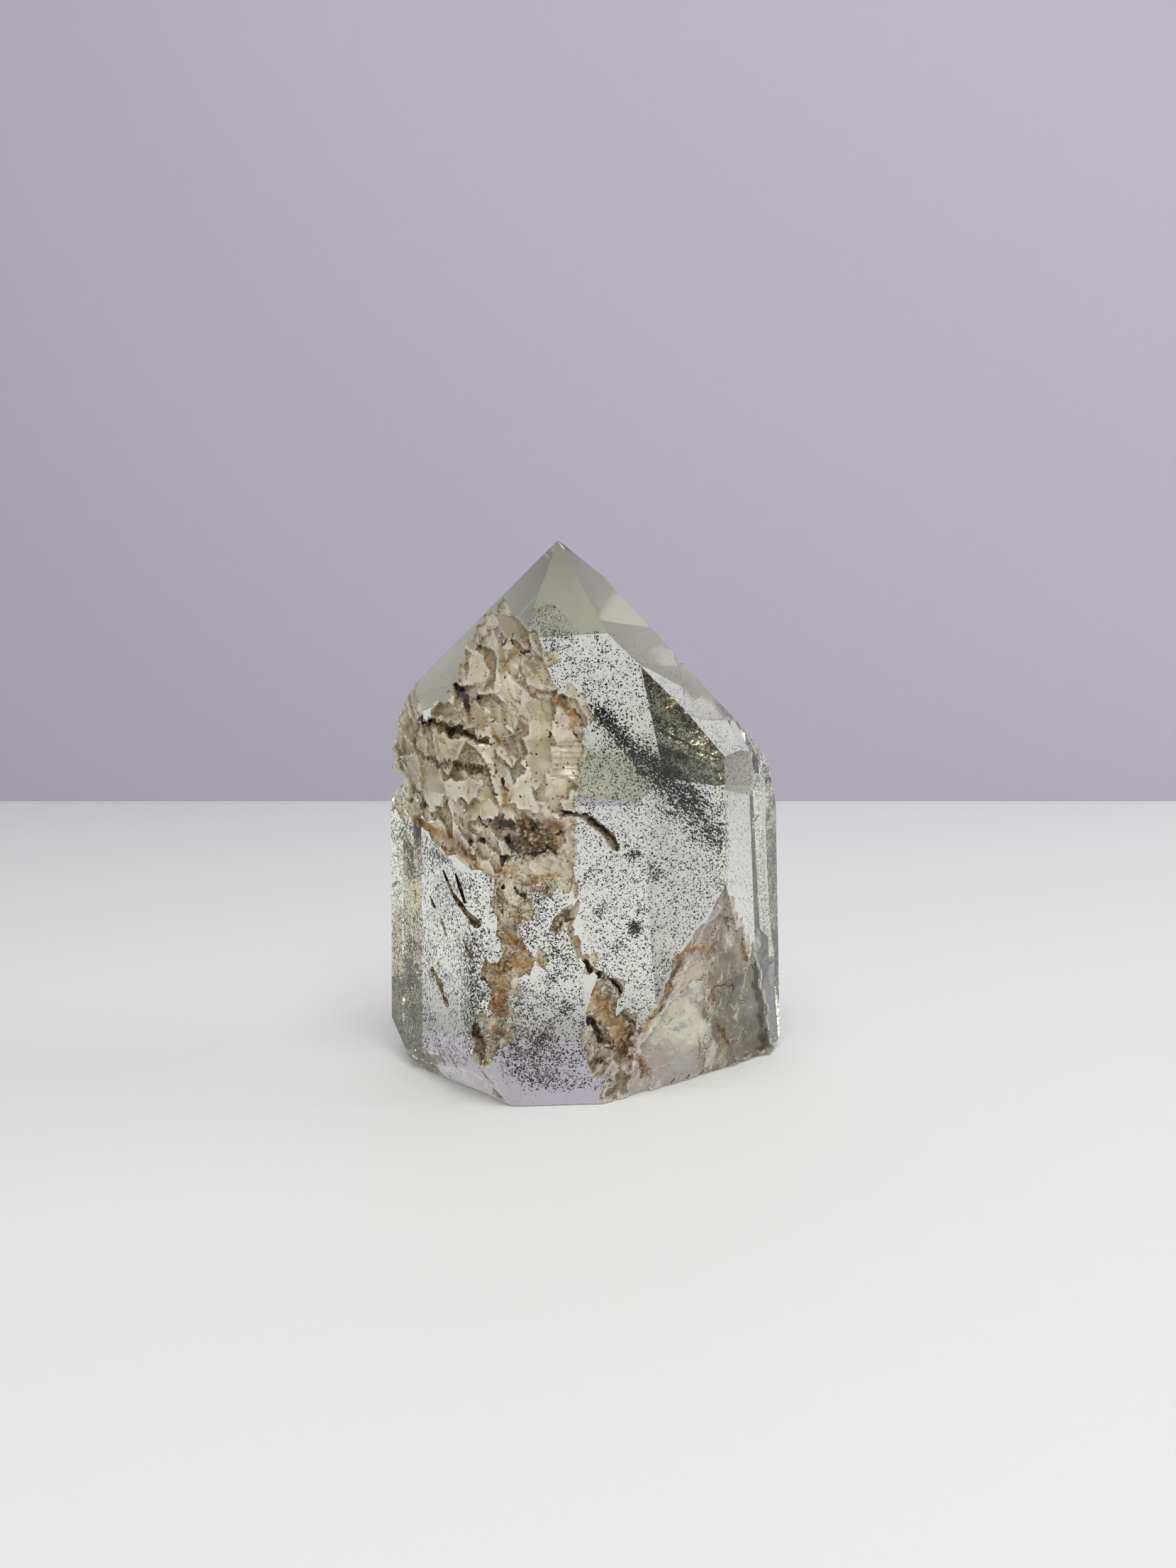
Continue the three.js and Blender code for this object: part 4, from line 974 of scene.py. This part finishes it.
def natural_colour(tree, tone, fine, broad, streaks):
    """Brown to green glassy shards, beige ones and pale cream ones, with painted shade in the hollows,
    ridges whitened partly as a painted highlight, and dirt in the creases.
    """
    glassy = mixed_colour(tree, between(tree, broad, *TO_GREEN), GLASSY_BROWN, GLASSY_GREEN)
    pale = mixed_colour(tree, between(tree, broad, *TO_CREAM), PINKISH, CREAM)
    speck = mixed_colour(tree, between(tree, fine, *TO_OCHRE_SPECK), BLACK, OCHRE)
    dirty = product(tree, attribute(tree, "crease"), between(tree, fine, *TO_DIRT))
    return painted(tree, glassy, (
        (between(tree, tone, *TO_BEIGE), BEIGE),
        (between(tree, tone, *TO_PALE), pale),
        (product(tree, between(tree, streaks, *TO_STREAK), STREAK_SHARE), BEIGE),
        # Painted shade in the hollows.
        (product(tree, attribute(tree, "hollow_shade"), HOLLOW_SHADE_SHARE), HOLLOW_SHADE),
        # Whiter ridges: frosted micro-fractured edges, and partly a painted highlight.
        (product(tree, attribute(tree, "ridge"), RIDGE_SHARE), WHITE),
        (dirty, DIRT),
        (dots(tree, *SPECKS), speck)))


def stained_colour(tree, stains, colour, fine, broad):
    """The natural surface's colour with the iron stains on it, which along the cuts are partly painted
    shade.
    """
    ochre = mixed_colour(tree, between(tree, broad, *TO_OCHRE), OCHRE_DEEP, OCHRE)
    brown = mixed_colour(tree, between(tree, fine, *TO_MOTTLE), BROWN_DEEP, BROWN)
    return painted(tree, colour, zip(stains.values(), (ochre, brown, BLACK)))


def quartz_material():
    """Clear quartz whose natural surfaces run from glassy to cream, and are stained by iron. Hollows, pits
    and slits carry painted shade, and ridges a partly painted highlight.
    """
    material, tree, shader = new_material("quartz")
    natural = attribute(tree, "natural")
    frost = attribute(tree, "frost")
    tone = attribute(tree, "tone")
    fine = noise(tree, FINE_GRAIN, detail=5)
    broad = noise(tree, BROAD_GRAIN, detail=2)
    streaks = noise(tree, FINE_GRAIN, detail=4, distortion=0.6, stretch=STREAK_STRETCH)
    stains = {name: stain_mask(tree, name, fine) for name in STAINS}
    colour = natural_colour(tree, tone, fine, broad, streaks)
    colour = mixed_colour(tree, between(tree, frost, *TO_FROSTED), WHITE, colour)
    colour = stained_colour(tree, stains, colour, fine, broad)
    stained = larger(tree, larger(tree, stains["ochre"], stains["brown"]), stains["dark"])
    milky = mixed_value(tree, between(tree, tone, *TO_MILKY), *MILKY_SHARES)
    # Ridges are milkier: frosted edges, and partly a painted highlight.
    milky = larger(tree, milky, product(tree, attribute(tree, "ridge"), RIDGE_SHARE))
    milky = product(tree, milky, frost)
    milky = larger(tree, milky, product(tree, stained, STAIN_MILKY))
    clear = calculate(tree, "SUBTRACT", 1, milky)
    rough = mixed_value(tree, between(tree, fine, *TO_MOTTLE), *FROSTED_ROUGHNESS)
    rough = mixed_value(tree, frost, GLASSY_ROUGHNESS, rough)
    tree.links.new(mixed_colour(tree, natural, (1, 1, 1, 1), colour), shader.inputs["Base Color"])
    tree.links.new(mixed_value(tree, natural, 1, clear), shader.inputs["Transmission Weight"])
    tree.links.new(mixed_value(tree, natural, POLISHED_ROUGHNESS, rough), shader.inputs["Roughness"])
    height = product(tree, calculate(tree, "ADD", fine, streaks), natural)
    inputs = {"Height": height, "Strength": BUMP_STRENGTH, "Distance": BUMP_HEIGHT * MM}
    bump = new_node(tree, "ShaderNodeBump", inputs)
    tree.links.new(bump.outputs["Normal"], shader.inputs["Normal"])
    shader.inputs["IOR"].default_value = QUARTZ_IOR
    inputs = {"Color": QUARTZ_TINT, "Density": QUARTZ_DENSITY}
    absorption = new_node(tree, "ShaderNodeVolumeAbsorption", inputs)
    tree.links.new(absorption.outputs["Volume"], tree.nodes["Material Output"].inputs["Volume"])
    return material


def speckled_material(name, dark, light, grain, roughness):
    """Two shades of a colour, mixed in grains of a size in millimetres."""
    material, tree, shader = new_material(name)
    shade = mixed_colour(tree, between(tree, noise(tree, grain), *TO_LIGHT_GRAIN), dark, light)
    tree.links.new(shade, shader.inputs["Base Color"])
    shader.inputs["Roughness"].default_value = roughness
    return material


def plain_material(name, colour, roughness):
    """One even colour, for the stage."""
    material, _, shader = new_material(name)
    shader.inputs["Base Color"].default_value = colour
    shader.inputs["Roughness"].default_value = roughness
    return material


def clearance(points, field):
    """How far points are inside the stone, from its facets and its relief."""
    inside = np.min([distance - points @ normal for normal, distance in PLANES.values()], 0)
    inside = np.minimum(inside, points[:, 2])
    behind_relief = points[:, 1] - sampled(field, field["y"], points)
    return np.minimum(inside, behind_relief)


def facet_points(random, layer, field):
    """Random points at some depths under a facet, within an outline in x and z, more in some clumps."""
    normal, distance = PLANES[layer["facet"]]
    level = np.array([-normal[1], normal[0], 0]) / math.hypot(normal[0], normal[1])
    upward = np.cross(normal, level)
    kept = []
    while sum(map(len, kept)) < layer["count"]:
        u, v = (random.uniform(-reach, reach, FACET_TRIES) for reach in FACET_REACHES)
        depth = random.uniform(*layer["depths"], FACET_TRIES)
        points = (distance - depth)[:, None] * normal + u[:, None] * level + v[:, None] * upward
        x, z = points[:, 0], points[:, 2]
        clump = sum(share * smooth_noise(x, z, size, seed) for size, share, seed in CLUMP_WAVES)
        chance = np.clip(1 + layer["clumping"] * (clump - CLUMP_LEVEL), LEAST_CHANCE, 1)
        wanted = random.uniform(0, 1, FACET_TRIES) < chance
        within = inside_by(x, z, layer["outline"]) > 0 if layer["outline"] else True
        kept.append(points[wanted & within & (clearance(points, field) > FLAKE_CLEARANCE)])
    return np.concatenate(kept)[:layer["count"]]


def run_points(random, layer, field):
    """Random points under a facet, thickest along some runs of x, z and half width."""
    normal, distance = PLANES[layer["facet"]]
    kept = []
    while sum(map(len, kept)) < layer["count"]:
        run = layer["runs"][random.integers(len(layer["runs"]))]
        share = random.uniform(0, len(run) - 1, RUN_TRIES)
        x, z, width = (np.interp(share, range(len(run)), column) for column in zip(*run))
        x = x + width * random.normal(0, RUN_SPREAD, RUN_TRIES)
        z = z + width * random.normal(0, RUN_SPREAD, RUN_TRIES)
        depth = random.uniform(*layer["depths"], RUN_TRIES)
        y = (distance - depth - normal[0] * x - normal[2] * z) / normal[1]
        points = np.stack([x, y, z], -1)
        kept.append(points[clearance(points, field) > FLAKE_CLEARANCE])
    return np.concatenate(kept)[:layer["count"]]


def unit(vectors):
    return vectors / np.linalg.norm(vectors, axis=1, keepdims=True)


def add_flakes(name, random, points, layer, material):
    """One mesh of thin irregular flakes that lie about level with a facet, some longer than wide."""
    count = len(points)
    facing = unit(PLANES[layer["facet"]][0] + random.normal(0, layer["lean"], (count, 3)))
    run = random.normal(0, 1, (count, 3))
    if layer["direction"]:
        run = np.array(layer["direction"]) + FLAKE_STRAY * run
    run = unit(run - (run * facing).sum(1, keepdims=True) * facing)
    side = np.cross(facing, run)
    smallest, largest = layer["sizes"]
    radius = random.triangular(smallest, smallest * FLAKE_USUAL, largest, (count, 1))
    long = radius * random.uniform(1, layer["stretch"], (count, 1))
    corners = []
    for k in range(FLAKE_SIDES):
        angle = 2 * math.pi * k / FLAKE_SIDES + random.uniform(-FLAKE_TURN, FLAKE_TURN, (count, 1))
        reach = random.uniform(FLAKE_LEAST, 1, (count, 1))
        corners.append(points + long * reach * np.cos(angle) * run + radius * reach * np.sin(angle) * side)
    for way in (1, -1):
        corners.append(points + way * FLAKE_THICKNESS * radius * facing)
    vertices = np.stack(corners, 1).reshape(-1, 3)
    rim = np.arange(FLAKE_SIDES)
    following = np.roll(rim, -1)
    above = np.full(FLAKE_SIDES, FLAKE_SIDES)
    one = np.concatenate([np.stack([rim, following, above], -1), np.stack([following, rim, above + 1], -1)])
    faces = (one[None] + (FLAKE_SIDES + 2) * np.arange(count)[:, None, None]).reshape(-1, 3)
    piece = new_object(name, vertices, faces)
    piece.data.materials.append(material)
    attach(piece, "root")


def all_flakes(field):
    """Every layer, band and clump of flakes, in the order in which they are named."""
    random = np.random.default_rng(SEED)
    materials = {name: speckled_material(name, *look) for name, look in FLAKE_MATERIALS.items()}
    for name, own in FLAKES.items():
        layer = {**FLAKE_DEFAULTS, **own}
        scattered = run_points if layer["runs"] else facet_points
        add_flakes(name, random, scattered(random, layer, field), layer, materials[layer["material"]])


def stage_sheet(name, near, far, look):
    """Wide flat face from one y and z to another."""
    sides = ((near, -STAGE_SIDE), (near, STAGE_SIDE), (far, STAGE_SIDE), (far, -STAGE_SIDE))
    corners = np.array([(x, *end) for end, x in sides], float)
    sheet = new_object(name, corners, np.array([(0, 1, 2, 3)]))
    sheet.data.materials.append(plain_material(name, *look))
    return sheet


def stage_set():
    """Pale floor that ends in front of a pale wall."""
    meeting = (WALL_DISTANCE, FLOOR_HEIGHT)
    floor = stage_sheet("floor", (FLOOR_FRONT, FLOOR_HEIGHT), meeting, FLOOR_LOOK)
    wall = stage_sheet("wall", meeting, (WALL_DISTANCE, WALL_HEIGHT), WALL_LOOK)


def soft_light(name, place, size, power, colour):
    """Square soft light at a place that shines at the stone's middle."""
    light = bpy.data.lights.new(name, "AREA")
    light.shape = "SQUARE"
    light.size = size * MM
    light.energy = power
    light.color = colour
    lamp = in_scene(name, light)
    lamp.location = Vector(place) * MM
    lamp.rotation_euler = (Vector(LIGHT_TARGET) - Vector(place)).to_track_quat("-Z", "Y").to_euler()


def sky():
    """Sky that is bright behind the stone and above it."""
    world = bpy.data.worlds.new("studio")
    bpy.context.scene.world = world
    world.use_nodes = True
    tree = world.node_tree
    direction = new_node(tree, "ShaderNodeTexCoord").outputs["Generated"]
    parts = new_node(tree, "ShaderNodeSeparateXYZ", {"Vector": direction})
    behind = between(tree, parts.outputs["Y"], *BRIGHT_BEHIND)
    above = between(tree, parts.outputs["Z"], *BRIGHT_ABOVE)
    shade = mixed_colour(tree, larger(tree, behind, above), WORLD_DARK, WORLD_BRIGHT)
    tree.links.new(shade, tree.nodes["Background"].inputs["Color"])


def camera():
    """Camera at the photograph's angle and distance."""
    data = bpy.data.cameras.new("camera")
    data.sensor_width = SENSOR_WIDTH
    data.lens = LENS
    data.clip_start = NEAREST * MM
    eye = in_scene("camera", data)
    eye.location = Vector(CAMERA_PLACE) * MM
    eye.rotation_euler = (math.radians(90 - CAMERA_PITCH), 0, 0)
    bpy.context.scene.camera = eye


def light_paths():
    """Plain colours, and enough bounces for clear stone."""
    scene = bpy.context.scene
    scene.view_settings.view_transform = "Standard"
    scene.cycles.max_bounces = LIGHT_BOUNCES
    scene.cycles.transmission_bounces = LIGHT_BOUNCES
    scene.cycles.glossy_bounces = GLOSSY_BOUNCES


def build():
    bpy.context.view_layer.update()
    field = relief()
    stone = quartz_piece(field)
    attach(stone, "root")
    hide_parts("quartz_tower")
    all_flakes(field)
    stage_set()
    for name, light in LIGHTS.items():
        soft_light(name, *light)
    sky()
    camera()
    light_paths()


build()
